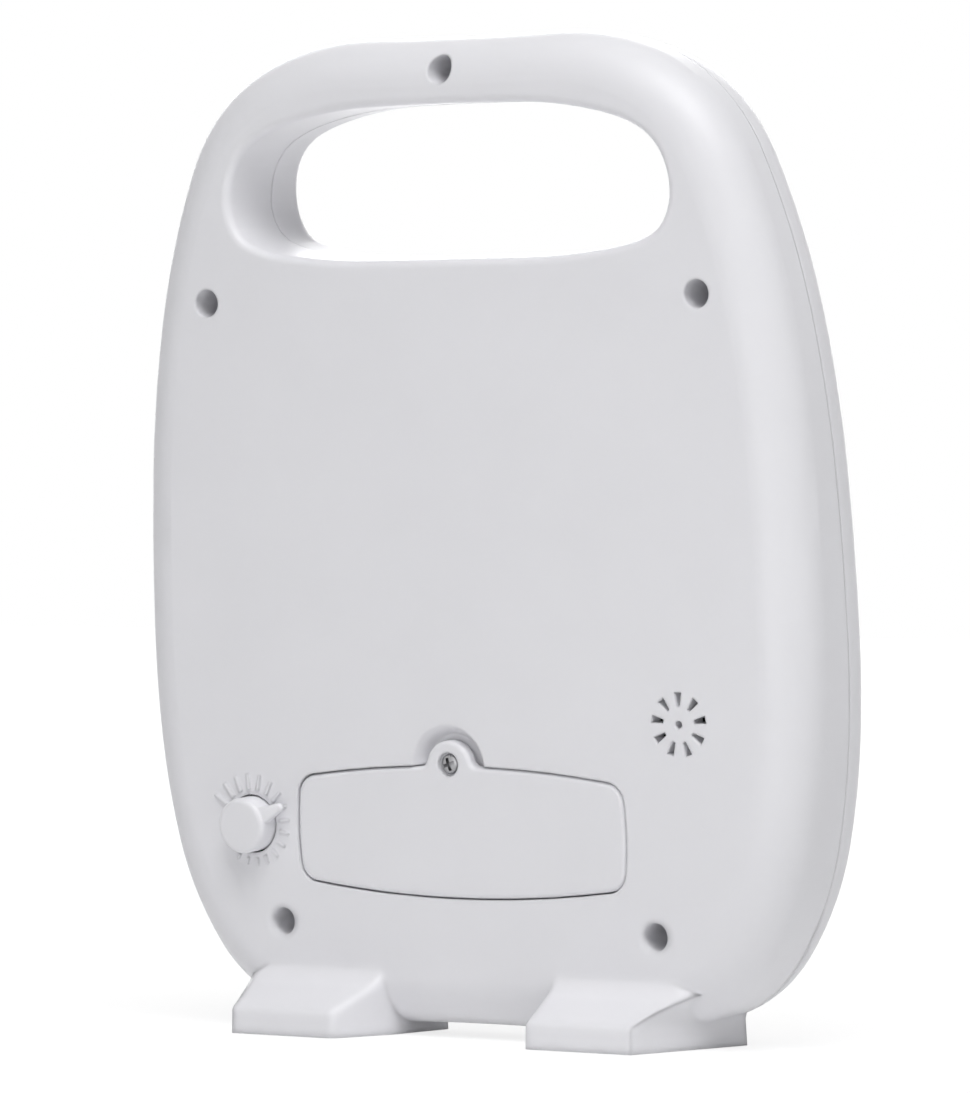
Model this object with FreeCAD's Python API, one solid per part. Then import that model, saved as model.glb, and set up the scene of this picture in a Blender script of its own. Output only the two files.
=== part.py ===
import FreeCAD, Part
import math
import os

from FreeCAD import Vector

# A free-standing visual timer with a carrying handle. A coloured disk winds out through a slit in
# the dial as the front knob is turned, and a quartz movement winds it back in one hour.
#
# Everything is modelled in the case frame and set on its feet at the end. In the case frame y = 0
# is the seam between the two shells, -y is the front, +y the rear, z runs up the leaning back from
# the ground, and +x is on the left when the timer is seen from behind. Millimetres throughout.

# case
BODY_WIDTH = 143.2
BODY_HEIGHT = 178.0
WIDEST_HEIGHT = 72.1
GROUND_CLEARANCE = 3.0
CASE_LEAN = 5.6
WALL = 2.2
FRONT_WALL = 3.0
FRONT_DEPTH = 11.0
FRONT_ROLL = 10.0
FRONT_BEVEL = 3.4
REAR_DEPTH = 18.5
REAR_TAPER = 0.034
REAR_ROLL = 8.5
REAR_OVERLAP = 5.0
REAR_BEVEL = 3.7
TOP_SQUARENESS = (4.65, 2.23)
BOTTOM_SQUARENESS = (6.18, 1.95)
LIP_HEIGHT = 1.5
LIP_GAP = 0.1

# handle opening
HOLE_BELOW_CREST = 28.2
HOLE_FROM_SIDE = 24.2
HOLE_RISE = 16.5
HOLE_DROP = 10.9
HOLE_TOP_SQUARENESS = (2.85, 2.85)
HOLE_BOTTOM_SQUARENESS = (3.4, 3.4)
HOLE_FRONT_ROLL = 4.5
HOLE_REAR_ROLL = 1.5

# feet
FOOT_INNER = 20.7
FOOT_FROM_SIDE = 28.6
FOOT_REACH = 31.5
FOOT_TIP_HEIGHT = 4.6
FOOT_FRONT = 2.0
FOOT_SPLAY = 3.9
FOOT_SLOPE = 5.2 / 11.0
FOOT_BLEND = 5.0
FOOT_BLEND_SINK = 0.4
FOOT_ROUND = 1.2

# case screws, in wells below the crest, under the handle opening and beside the feet
TOP_WELL_BELOW_CREST = 5.3
UPPER_WELL_FROM_SIDE = 18.7
UPPER_WELL_BELOW_HOLE = 17.4
LOWER_WELL_FROM_SIDE = 31.3
LOWER_WELL_HEIGHT = 21.5
WELL_RADIUS = 2.55
WELL_FLOOR = 3.0
REAR_BOSS_RADIUS = 4.2
FRONT_BOSS_RADIUS = 3.8
SCREW_RADIUS = 1.25
SCREW_HEAD_RADIUS = 2.2
SCREW_HEAD_HEIGHT = 1.6
HOUSING_SCREW_LENGTH = 9.5
SCREW_GAP = 0.05

# window, lens and dial
DIAL_HEIGHT = 69.5
WINDOW_RADIUS = 54.5
LENS_RECESS = 1.2
LENS_THICKNESS = 1.8
LENS_LEDGE = 2.0
LENS_GAP = 0.2
STEM_GAP = 0.4
TRAY_RIM = 2.0
TRAY_FACE = 4.9
TRAY_THICKNESS = 2.5
DIAL_THICKNESS = 0.5
DISK_THICKNESS = 0.4
DISK_MARGIN = 11.5
DISK_GAP = 0.3
DIAL_WELL_MARGIN = 9.5
SLIT_ANGLE = 1.0
RAMP_STEPS = 36
REST_MINUTES = 20.0
HUB_RADIUS = 6.0
HUB_LENGTH = 3.2
HUB_CLEARANCE = 0.6

# setting knob and its shaft
KNOB_RADIUS = 12.5
KNOB_HEIGHT = 12.0
KNOB_LIFT = 0.5
KNOB_ROLL = 2.0
KNOB_WALL = 1.6
KNOB_FLUTES = 16
FLUTE_RADIUS = 1.1
STEM_RADIUS = 3.6
SHAFT_RADIUS = 2.0
SHAFT_FLAT = 1.5
RUNNING_GAP = 0.05

# chassis behind the disk, with the ears that hold the dial tray
CHASSIS_FACE = 9.2
CHASSIS_THICKNESS = 2.0
EAR_ANGLES = (45.0, 135.0, -11.4, 191.4, -90.0)
EAR_RADIUS = 2.8
EAR_GAP = 0.3
SMALL_SCREW_RADIUS = 0.9
SMALL_HEAD_RADIUS = 1.7
SMALL_HEAD_HEIGHT = 1.1

# movement: a case behind the chassis, with its gear train
MOVEMENT_WIDTH = 50.0
MOVEMENT_BELOW = 14.6
MOVEMENT_ABOVE = 25.6
MOVEMENT_DEPTH = 12.0
MOVEMENT_WALL = 1.4
MOVEMENT_CORNER = 4.0
MODULE = 0.5
WHEEL_TEETH = 48
SECOND_TEETH = 40
PINION_TEETH = 8
WHEEL_THICKNESS = 1.0
PINION_THICKNESS = 1.4
LEVEL_PITCH = 2.0
BACKLASH = 0.14
TOOTH_SLOPE = 0.36
ARBOR_RADIUS = 0.6
THIRD_DIRECTION = 50.0
SECOND_DIRECTION = 170.0
ROTOR_DIRECTION = 215.0
MAGNET_RADIUS = 2.8
MAGNET_LENGTH = 2.6
STATOR_THICKNESS = 1.0
STATOR_GAP = 0.6
COIL_RADIUS = 3.2
COIL_LENGTH = 15.0

# battery compartment and door
DOOR_X = 0.8
DOOR_HEIGHT = 38.6
DOOR_HALF_WIDTH = 35.7
DOOR_HALF_HEIGHT = 11.95
DOOR_BOW = 240.0
DOOR_SIDE_BOW = 60.0
DOOR_CORNER = 4.0
DOOR_GAP = 0.25
DOOR_LEDGE = 1.6
DECK_SINK = 0.7
DECK_THICKNESS = 1.6
TAB_X = 2.8
TAB_HEIGHT = 50.0
TAB_RADIUS = 4.9
TAB_FILLET = 1.6
TAB_ROUND = 0.8
ARCH_RADIUS = 7.9
ARCH_SLOPE = 1.9
ARCH_DEPTH = 3.0
ARCH_FLOOR = 1.2
DOOR_SCREW_HEIGHT = 50.7
DOOR_SCREW_LENGTH = 5.2
DOOR_SCREW_HEAD_RADIUS = 2.0
DOOR_SCREW_SINK = 1.1
HOOK_X = 17.9
HOOK_WIDTH = 4.0
CELL_RADIUS = 7.25
CELL_LENGTH = 49.2
CELL_NUB_RADIUS = 2.75
CELL_NUB_LENGTH = 1.2
CELL_HEIGHT = 38.8
CELL_GAP = 0.35
CELL_SHIFT = 0.6
CONTACT_SPACE = 5.2
CONTACT_THICKNESS = 0.4

# speaker and volume control
SPEAKER_X = -46.5
SPEAKER_HEIGHT = 58.7
SPEAKER_RADIUS = 13.6
GRILLE_SLOTS = 9
GRILLE_OUTER = 5.7
GRILLE_INNER = 3.2
SLOT_OUTER_WIDTH = 1.45
SLOT_INNER_WIDTH = 0.65
GRILLE_CENTRE_RADIUS = 0.7
VOLUME_X = 46.5
VOLUME_HEIGHT = 39.0
VOLUME_KNOB_RADIUS = 5.0
VOLUME_KNOB_GAP = 0.3
VOLUME_KNOB_STANDS = 4.0
VOLUME_SHAFT_RADIUS = 2.0
POT_RADIUS = 6.5
POINTER_ANGLE = 24.0
POINTER_REACH = 7.6
RIDGE_COUNT = 16
RIDGE_START = 6.2
RIDGE_LENGTHS = (3.4, 1.2)
RIDGE_ANGLES = (32.0, 298.0)
RIDGE_STANDS = 0.35

# alarm board
BOARD_HEIGHT = 113.5
BOARD_WIDTH = 64.0
BOARD_BREADTH = 24.0
BOARD_THICKNESS = 1.6
BOARD_CLEARANCE = 6.2

lean = math.radians(CASE_LEAN)
half_width = BODY_WIDTH / 2
crest = (BODY_HEIGHT - WIDEST_HEIGHT) / math.cos(lean)
belly = (WIDEST_HEIGHT - GROUND_CLEARANCE) / math.cos(lean)
widest = WIDEST_HEIGHT / math.cos(lean)
hole_height = widest + crest - HOLE_BELOW_CREST
hole_half_width = half_width - HOLE_FROM_SIDE
foot_outer = half_width - FOOT_FROM_SIDE
disk_radius = WINDOW_RADIUS - DISK_MARGIN
dial_well_radius = WINDOW_RADIUS - DIAL_WELL_MARGIN
ear_distance = WINDOW_RADIUS + LENS_LEDGE + LENS_GAP + EAR_RADIUS + EAR_GAP
wheel_distance = MODULE * (WHEEL_TEETH + PINION_TEETH) / 2
rotor_distance = MODULE * (SECOND_TEETH + PINION_TEETH) / 2
disk_offset = (DIAL_THICKNESS + DISK_THICKNESS) / 2 + DISK_GAP
pitch = 2 * disk_offset
dial_datum = TRAY_FACE + pitch + DIAL_THICKNESS / 2


def rear_surface(z):
    """The y of the rear face at a height."""
    return REAR_DEPTH - REAR_TAPER * z


deck_depth = rear_surface(DOOR_HEIGHT) - WALL - DECK_SINK
cell_depth = deck_depth - CELL_RADIUS - 0.15
speaker_seat = rear_surface(SPEAKER_HEIGHT + SPEAKER_RADIUS) - WALL - 0.4
pot_face = rear_surface(VOLUME_HEIGHT) - WALL - 5.0
board_depth = rear_surface(BOARD_HEIGHT + BOARD_BREADTH / 2) - WALL - BOARD_CLEARANCE


def front(depth):
    """The y of a plane that lies depth behind the front face."""
    return depth - FRONT_DEPTH


def polar(radius, degrees, centre=(0.0, 0.0)):
    angle = math.radians(degrees)
    return centre[0] + radius * math.cos(angle), centre[1] + radius * math.sin(angle)


def cylinder(radius, y_from, y_to, x=0.0, z=0.0):
    """A round bar along y."""
    return Part.makeCylinder(radius, y_to - y_from, Vector(x, y_from, z), Vector(0, 1, 0))


def bar(radius, y_from, y_to, x=0.0, z=0.0, sides=8):
    """A bar along y with flats instead of a round side, for screws, their holes and posts."""
    corners = [polar(radius, 360 * (number + 0.5) / sides, (x, z)) for number in range(sides)]
    points = [Vector(cx, y_from, cz) for cx, cz in corners]
    return Part.Face(Part.makePolygon(points + points[:1])).extrude(Vector(0, y_to - y_from, 0))


def cone(radius_from, radius_to, y_from, y_to, x=0.0, z=0.0):
    start = Vector(x, y_from, z)
    return Part.makeCone(radius_from, radius_to, y_to - y_from, start, Vector(0, 1, 0))


def block(x, y, z):
    """A box between the two values given for each axis."""
    sides = [pair[1] - pair[0] for pair in (x, y, z)]
    return Part.makeBox(*sides, Vector(x[0], y[0], z[0]))


def fuse(shapes):
    joined = shapes[0].multiFuse(shapes[1:]) if len(shapes) > 1 else shapes[0]
    return joined.removeSplitter()


def middle(edge):
    return edge.valueAt((edge.FirstParameter + edge.LastParameter) / 2)


def round_edges(shape, radius, chosen):
    """Rounds the edges that pass a test of the edge and its middle point."""
    return shape.makeFillet(radius, [edge for edge in shape.Edges if chosen(edge, middle(edge))])


def along_x(edge):
    ends = [v.Point for v in edge.Vertexes]
    return len(ends) == 2 and abs((ends[1] - ends[0]).x) > 0.99 * edge.Length


def along_y(edge):
    ends = [v.Point for v in edge.Vertexes]
    return len(ends) == 2 and abs((ends[1] - ends[0]).y) > 0.99 * edge.Length


def superellipse_point(angle, across, rise, drop, top, bottom):
    """The point at an angle on |x / across| ** p + |z / rise| ** q = 1, and the direction in
    which the curve runs there. (p, q) is top above the widest line; below it, bottom with drop."""
    u, v = math.cos(angle), math.sin(angle)
    upper = v > -1e-9
    p, q = top if upper else bottom
    reach = rise if upper else drop
    low, high = 0.5, 2.0
    for _ in range(50):
        scale = (low + high) / 2
        if abs(scale * u) ** p + abs(scale * v) ** q < 1:
            low = scale
        else:
            high = scale
    slope_x = math.copysign(p * abs(scale * u) ** (p - 1) / across, u)
    slope_z = math.copysign(q * abs(scale * v) ** (q - 1) / reach, v)
    way = Vector(-slope_z, 0, slope_x)
    return Vector(scale * u * across, 0, scale * v * reach), way.normalize()


def arc_middle(start, way, end):
    """The middle point of the arc that leaves start along way and ends at end."""
    chord = end - start
    half_turn = math.atan2(chord.cross(way).Length, chord.dot(way)) / 2
    side = way - chord * (way.dot(chord) / chord.dot(chord))
    if side.Length < 1e-9:
        return (start + end) / 2
    return (start + end) / 2 + side.normalize() * (chord.Length / 2 * math.tan(half_turn))


def superellipse(across, rise, drop, top, bottom, nodes=(38, 52)):
    """The curve as pairs of tangent arcs, one pair between each two nodes. The nodes are angles
    in the first quarter, and are repeated in the other three. Each arc is three points."""
    quarter = [0] + list(nodes) + [90]
    angles = quarter[:-1] + [180 - a for a in reversed(quarter)][:-1]
    angles += [180 + a for a in quarter][:-1] + [360 - a for a in reversed(quarter)]
    arcs = []
    for first, last in zip(angles, angles[1:]):
        start, way = superellipse_point(math.radians(first), across, rise, drop, top, bottom)
        end, end_way = superellipse_point(math.radians(last), across, rise, drop, top, bottom)
        gap = end - start
        along, turn = gap.dot(way + end_way), 2 * (1 - way.dot(end_way))
        reach = (math.sqrt(along**2 + turn * gap.dot(gap)) - along) / turn
        joint = (start + end + (way - end_way) * reach) / 2
        arcs.append((start, arc_middle(start, way, joint), joint))
        arcs.append((joint, arc_middle(end, end_way * -1, joint), end))
    return arcs


def closed_curve(arcs, place):
    """The outline as a wire, with each of its points put in space by place(x, z)."""
    edges = []
    for arc in arcs:
        start, middle, end = (place(point.x, point.z) for point in arc)
        edges.append(Part.Arc(start, middle, end).toShape())
    return Part.Wire(edges)


def prism(arcs, y_from, y_to, x=0.0, z=0.0):
    """An outline carried along y."""
    wire = closed_curve(arcs, lambda a, b: Vector(x + a, y_from, z + b))
    return Part.Face(wire).extrude(Vector(0, y_to - y_from, 0))


def case_outline(inset=0.0):
    return superellipse(
        half_width - inset,
        crest - inset,
        belly - inset,
        TOP_SQUARENESS,
        BOTTOM_SQUARENESS,
        nodes=(30, 60),
    )


def square_to_rear(shape):
    """Turns a piece made square to the seam so that it is square to the tapering rear face."""
    shape.rotate(Vector(0, 0, widest), Vector(1, 0, 0), math.degrees(math.atan(REAR_TAPER)))
    return shape


def rear_block():
    """The rear half of the body with the handle opening, its edges rounded."""
    depth = rear_surface(widest)
    body = prism(case_outline(), -REAR_OVERLAP, depth, 0, widest)
    body = body.cut(prism(hole_outline(), -REAR_OVERLAP - 1, depth + 1, 0, hole_height))
    body = round_edges(body, REAR_ROLL, lambda e, m: abs(m.y - depth) < 0.01 and not in_hole(m))
    body = round_edges(body, HOLE_REAR_ROLL, lambda e, m: abs(m.y - depth) < 0.01 and in_hole(m))
    return square_to_rear(body).cut(block((-90, 90), (-20, 0), (-20, 200)))


def rear_hollow():
    depth = rear_surface(widest) - WALL
    hollow = prism(case_outline(WALL), -REAR_OVERLAP, depth, 0, widest)
    hollow = hollow.makeChamfer(REAR_BEVEL, [e for e in hollow.Edges if abs(middle(e).y - depth) < 0.01])
    sleeve = prism(hole_outline(WALL), -REAR_OVERLAP - 1, depth + 1, 0, hole_height)
    return square_to_rear(hollow.cut(sleeve))


def front_block():
    """The front half of the body with the handle opening, its edges rounded."""
    body = prism(case_outline(), front(0), 0, 0, widest)
    body = body.cut(prism(hole_outline(), front(-1), 1, 0, hole_height))
    body = round_edges(body, FRONT_ROLL, lambda e, m: abs(m.y - front(0)) < 0.01 and not in_hole(m))
    return round_edges(body, HOLE_FRONT_ROLL, lambda e, m: abs(m.y - front(0)) < 0.01 and in_hole(m))


def in_hole(point):
    """Whether a point lies in the handle opening or on its edge."""
    across = abs(point.x) / (hole_half_width + 2)
    up = abs(point.z - hole_height) / (HOLE_RISE + 2)
    return across**3 + up**3 < 1


def hole_outline(outset=0.0):
    return superellipse(
        hole_half_width + outset,
        HOLE_RISE + outset,
        HOLE_DROP + outset,
        HOLE_TOP_SQUARENESS,
        HOLE_BOTTOM_SQUARENESS,
    )


def foot_top():
    """The top of a foot's profile in level coordinates: a straight slope from the tip, then an arc
    that turns up to run just under the case's rear face."""
    lean = math.radians(CASE_LEAN)
    rise = math.atan(FOOT_SLOPE)
    tilt = lean - math.atan(REAR_TAPER)
    y, z = rear_surface(0), 0.0
    face = Vector(0, y * math.cos(lean) + z * math.sin(lean), z * math.cos(lean) - y * math.sin(lean))
    inward = Vector(0, -math.cos(tilt), math.sin(tilt))
    up = Vector(0, math.sin(tilt), math.cos(tilt))
    slope = Vector(0, -math.cos(rise), math.sin(rise))
    tip = Vector(0, FOOT_REACH, FOOT_TIP_HEIGHT)
    length = (face + inward * FOOT_BLEND_SINK - tip).dot(inward) / slope.dot(inward)
    corner = tip + slope * length
    reach = FOOT_BLEND * math.tan(slope.getAngle(up) / 2)
    start, end = corner - slope * reach, corner + up * reach
    centre = start + Vector(0, math.sin(rise), math.cos(rise)) * FOOT_BLEND
    mid = centre + (corner - centre).normalize() * FOOT_BLEND
    return tip, start, mid, end


def foot(side):
    """A foot in level coordinates: a wedge that slopes up from its tip to the rear of the case,
    widens towards the case and flares out to the case's side."""
    tip, start, mid, end = foot_top()
    ground_back = Vector(0, FOOT_REACH, 0)
    ground_front = Vector(0, -FOOT_FRONT, 0)
    inside = Vector(0, 0, end.z)
    nose = Vector(0, -FOOT_FRONT, GROUND_CLEARANCE + 2.0)
    profile = [
        Part.LineSegment(ground_front, ground_back),
        Part.LineSegment(ground_back, tip),
        Part.LineSegment(tip, start),
        Part.Arc(start, mid, end),
        Part.LineSegment(end, inside),
        Part.LineSegment(inside, nose),
        Part.LineSegment(nose, ground_front),
    ]
    wedge = Part.Face(Part.Wire([line.toShape() for line in profile]))
    wedge = wedge.extrude(Vector(half_width, 0, 0))
    bend = foot_outer + FOOT_SPLAY, FOOT_TIP_HEIGHT + 0.2
    curve_end = bend[0] + 7.5, FOOT_TIP_HEIGHT + 6.0
    top = end.z + 1
    section = [
        Part.LineSegment(Vector(0, 0, 0), Vector(bend[0], 0, 0)),
        Part.LineSegment(Vector(bend[0], 0, 0), Vector(bend[0], 0, bend[1])),
        Part.Arc(
            Vector(bend[0], 0, bend[1]),
            Vector(bend[0] + 2.3, 0, bend[1] + 3.9),
            Vector(curve_end[0], 0, curve_end[1]),
        ),
        Part.LineSegment(Vector(curve_end[0], 0, curve_end[1]), Vector(curve_end[0], 0, top)),
        Part.LineSegment(Vector(curve_end[0], 0, top), Vector(0, 0, top)),
        Part.LineSegment(Vector(0, 0, top), Vector(0, 0, 0)),
    ]
    band = Part.Face(Part.Wire([line.toShape() for line in section]))
    band.translate(Vector(0, -FOOT_FRONT, 0))
    band = band.extrude(Vector(-FOOT_SPLAY, FOOT_REACH + FOOT_FRONT, 0))
    hidden = FOOT_INNER - 3.0
    inner = [(0, 40), (FOOT_INNER + 1.7, 40), (hidden, FOOT_REACH - 14.5), (hidden, -20), (0, -20)]
    points = [Vector(x, y, -1) for x, y in inner]
    beside = Part.Face(Part.makePolygon(points + points[:1])).extrude(Vector(0, 0, 20))
    corner = beyond_plane(
        Vector(foot_outer + 0.2, FOOT_REACH, FOOT_TIP_HEIGHT),
        Vector(foot_outer + 2.6, FOOT_REACH - 12.3, FOOT_TIP_HEIGHT + 6.1),
        Vector(foot_outer + 11.0, FOOT_REACH - 19.5, FOOT_TIP_HEIGHT + 5.9),
    )
    solid = wedge.common(band).cut(beside).cut(corner)
    solid = round_edges(solid, FOOT_ROUND, on_foot_edge)
    if side < 0:
        solid = solid.mirror(Vector(0, 0, 0), Vector(1, 0, 0))
    solid.rotate(Vector(0, 0, 0), Vector(1, 0, 0), CASE_LEAN)
    return solid


def beyond_plane(first, second, third):
    """A thick slab on the far side of the plane through three points."""
    normal = (second - first).cross(third - first).normalize()
    along = (second - first).normalize()
    across = normal.cross(along)
    corners = [(-50, -50), (50, -50), (50, 50), (-50, 50), (-50, -50)]
    outline = Part.makePolygon([first + along * u + across * v for u, v in corners])
    return Part.Face(outline).extrude(normal * 40)


def on_foot_edge(edge, at):
    """Whether an edge of a foot is one of its tip's soft edges or runs up from them beside the middle."""
    if at.y > FOOT_REACH - 0.1:
        return at.z > 0.1 and at.x < foot_outer - 1
    return FOOT_REACH - 14 < at.y < FOOT_REACH - 0.2 and at.z > FOOT_TIP_HEIGHT and at.x < FOOT_INNER + 0.5


def wells():
    """The case screws' places, as x and height along the case."""
    crest_height = widest + crest
    upper = half_width - UPPER_WELL_FROM_SIDE, hole_height - UPPER_WELL_BELOW_HOLE
    lower = half_width - LOWER_WELL_FROM_SIDE, LOWER_WELL_HEIGHT
    places = [(0.0, crest_height - TOP_WELL_BELOW_CREST)]
    for x, z in (upper, lower):
        places += [(x, z), (-x, z)]
    return places


def screw(radius, length, head_radius, head_height, x, y, z):
    """A screw driven towards the front, its head resting at y."""
    shank = bar(radius, y - length, y, x, z)
    return shank.fuse(bar(head_radius, y, y + head_height, x, z))


def window(extra, y_from, y_to):
    """A disc on the dial's axis, as wide as the window and a bit more."""
    return cylinder(WINDOW_RADIUS + extra, y_from, y_to, 0, DIAL_HEIGHT)


def ears():
    """Where the dial tray is screwed on, from the dial's centre. The last has no chassis arm."""
    return [polar(ear_distance, angle) for angle in EAR_ANGLES]


def make_front_shell():
    body = front_block()
    hollow = prism(case_outline(WALL), front(FRONT_WALL), 1, 0, widest)
    floor_edges = [edge for edge in hollow.Edges if abs(middle(edge).y - front(FRONT_WALL)) < 0.01]
    hollow = hollow.makeChamfer(FRONT_BEVEL, floor_edges)
    sleeve = prism(hole_outline(WALL), front(0), 2, 0, hole_height)
    posts = [bar(FRONT_BOSS_RADIUS, front(FRONT_WALL) - 1, 2, x, z) for x, z in wells()]
    posts += [
        bar(EAR_RADIUS, front(FRONT_WALL) - 1, front(TRAY_FACE + 0.5), x, DIAL_HEIGHT + z)
        for x, z in ears()
    ]
    body = body.cut(hollow.cut([sleeve] + posts))
    cuts = [
        window(0, front(-1), front(FRONT_WALL + 1)),
        window(LENS_LEDGE + LENS_GAP, front(LENS_RECESS), front(TRAY_FACE + TRAY_THICKNESS)),
    ]
    for x, z in wells():
        tip = WELL_FLOOR - HOUSING_SCREW_LENGTH
        cuts.append(bar(SCREW_RADIUS + SCREW_GAP, tip - 0.2, 1, x, z))
    for x, z in ears():
        cuts.append(bar(SMALL_SCREW_RADIUS + SCREW_GAP, front(1.6), 1, x, DIAL_HEIGHT + z))
    rebate = prism(case_outline(WALL / 2 - LIP_GAP), -LIP_HEIGHT - LIP_GAP, 1, 0, widest)
    core = prism(case_outline(WALL + LIP_GAP), -LIP_HEIGHT - 1, 2, 0, widest)
    cuts.append(rebate.cut(core))
    return body.cut(cuts)


def make_rear_shell():
    body = rear_block()
    dome = body
    for side in (-1, 1):
        body = body.fuse(foot(side).common(block((-90, 90), (0, 60), (-20, 40))))
    body = body.cut(rear_hollow())
    rim = prism(case_outline(WALL / 2), -LIP_HEIGHT, 1, 0, widest)
    body = body.fuse(rim.cut(prism(case_outline(WALL), -LIP_HEIGHT - 1, 1.5, 0, widest)))
    posts = [bar(REAR_BOSS_RADIUS, 0, REAR_DEPTH, x, z) for x, z in wells()]
    arch_floor = rear_surface(TAB_HEIGHT) - ARCH_DEPTH
    deck = prism(door_outline(DOOR_LEDGE), deck_depth - DECK_THICKNESS, REAR_DEPTH, DOOR_X, DOOR_HEIGHT)
    tub_end = tub_ends()[1]
    tub_side = CELL_RADIUS + CELL_GAP
    floor = cell_depth - CELL_RADIUS - 0.1
    tub = block(
        (-tub_end - 1.5, tub_end + 1.5),
        (floor - 1.4, deck_depth),
        (CELL_HEIGHT - tub_side - 1.5, CELL_HEIGHT + tub_side + 1.5),
    )
    speaker_ring = cylinder(SPEAKER_RADIUS + 1.6, speaker_seat - 4.4, REAR_DEPTH, SPEAKER_X, SPEAKER_HEIGHT)
    arch_seat = cylinder(ARCH_RADIUS + 1.4, arch_floor - ARCH_FLOOR, REAR_DEPTH, TAB_X, TAB_HEIGHT)
    added = [deck, tub, speaker_ring, arch_seat] + posts
    for x, z in board_holes():
        added.append(bar(2.2, board_depth + BOARD_THICKNESS, REAR_DEPTH, x, z))
    for x, z in volume_board_holes():
        added.append(bar(2.2, pot_face - 3.0, REAR_DEPTH, x, z))
    for piece in added:
        body = body.fuse(piece if piece is tub else piece.common(dome))
    for ridge in volume_ridges():
        body = body.fuse(ridge)
    body = body.cut(
        cone(
            ARCH_RADIUS - ARCH_SLOPE,
            ARCH_RADIUS + ARCH_SLOPE * 0.5,
            arch_floor,
            arch_floor + ARCH_DEPTH * 1.5,
            TAB_X,
            TAB_HEIGHT,
        )
    )
    post_top = rear_surface(DOOR_SCREW_HEIGHT + 3.6) - WALL - 0.05
    body = body.fuse(cylinder(3.6, deck_depth - 8.8, post_top, TAB_X, DOOR_SCREW_HEIGHT))
    cuts = []
    for x, z in wells():
        cuts.append(cylinder(WELL_RADIUS, WELL_FLOOR, REAR_DEPTH + 2, x, z))
        cuts.append(bar(SCREW_RADIUS + 0.3, -2, REAR_DEPTH, x, z))
    cuts.append(prism(door_outline(0), deck_depth, REAR_DEPTH + 1, DOOR_X, DOOR_HEIGHT))
    cuts.append(
        block(
            (-tub_end, tub_end), (floor, deck_depth + 1), (CELL_HEIGHT - tub_side, CELL_HEIGHT + tub_side)
        )
    )
    cuts += door_screw_hole()
    for x in hooks_at():
        cuts.append(
            block(
                (x - HOOK_WIDTH / 2 - 0.3, x + HOOK_WIDTH / 2 + 0.3),
                (deck_depth - 0.7, deck_depth + 2.2),
                (DOOR_HEIGHT - DOOR_HALF_HEIGHT - 2.4, DOOR_HEIGHT),
            )
        )
    cuts.append(
        cylinder(SPEAKER_RADIUS + 0.1, speaker_seat - 5.4, speaker_seat, SPEAKER_X, SPEAKER_HEIGHT)
    )
    cuts.append(
        cylinder(VOLUME_KNOB_RADIUS + VOLUME_KNOB_GAP, pot_face + 1, REAR_DEPTH, VOLUME_X, VOLUME_HEIGHT)
    )
    cuts += grille()
    for x, z in board_holes():
        cuts.append(bar(SMALL_SCREW_RADIUS + SCREW_GAP, board_depth, board_depth + 5.6, x, z))
    for x, z in volume_board_holes():
        cuts.append(bar(SMALL_SCREW_RADIUS + SCREW_GAP, pot_face - 4, pot_face + 2, x, z))
    for tool in cuts:
        body = body.cut(tool)
    return body


def door_outline(outset):
    """The battery door's opening, as arcs, a bit larger or smaller: four bowed sides that run
    into round corners."""
    above = Vector(0, 0, DOOR_HALF_HEIGHT - DOOR_BOW)
    beside = Vector(DOOR_HALF_WIDTH - DOOR_SIDE_BOW, 0, 0)
    reach_above, reach_beside = DOOR_BOW - DOOR_CORNER, DOOR_SIDE_BOW - DOOR_CORNER
    gap = above - beside
    along = (reach_beside**2 - reach_above**2 + gap.dot(gap)) / (2 * gap.Length)
    off = math.sqrt(reach_beside**2 - along**2)
    line = gap.normalize()
    corner = beside + line * along + Vector(-line.z, 0, line.x) * off
    upper = (corner - above).normalize()
    outer = (corner - beside).normalize()
    radius = DOOR_CORNER + outset
    top = above + upper * (DOOR_BOW + outset)
    side = beside + outer * (DOOR_SIDE_BOW + outset)
    bend = corner + (upper + outer).normalize() * radius
    quarter = [side, bend, top]

    def flip(point, x, z):
        return Vector(point.x * x, 0, point.z * z)

    across, up = DOOR_HALF_WIDTH + outset, DOOR_HALF_HEIGHT + outset
    arcs = [(flip(side, 1, -1), Vector(across, 0, 0), side), tuple(quarter)]
    arcs.append((top, Vector(0, 0, up), flip(top, -1, 1)))
    arcs.append(tuple(flip(point, -1, 1) for point in reversed(quarter)))
    arcs.append((flip(side, -1, 1), Vector(-across, 0, 0), flip(side, -1, -1)))
    arcs.append(tuple(flip(point, -1, -1) for point in quarter))
    arcs.append((flip(top, -1, -1), Vector(0, 0, -up), flip(top, 1, -1)))
    arcs.append(tuple(flip(point, 1, -1) for point in reversed(quarter)))
    return arcs


def hooks_at():
    return DOOR_X - HOOK_X, DOOR_X + HOOK_X


def door_screw_hole():
    """The pilot hole in the post under the door's tab, with a slanting lead above it that lets
    the screw's tip out when the door swings with its captive screw."""
    radius = SCREW_RADIUS + SCREW_GAP
    tip = rear_surface(DOOR_SCREW_HEIGHT) - DOOR_SCREW_SINK - DOOR_SCREW_LENGTH
    hole = bar(radius, tip - 0.6, REAR_DEPTH, TAB_X, DOOR_SCREW_HEIGHT)
    top = DOOR_SCREW_HEIGHT + radius
    profile = [
        (tip - 0.2, top - radius),
        (tip - 0.2, top),
        (tip + 1.0, top + 0.45),
        (tip + 4.0, top + 1.0),
        (tip + 6.0, top + 1.0),
        (tip + 6.0, top - radius),
    ]
    points = [Vector(TAB_X - radius, y, z) for y, z in profile]
    lead = Part.Face(Part.makePolygon(points + points[:1])).extrude(Vector(2 * radius, 0, 0))
    return [hole, lead]


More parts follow.
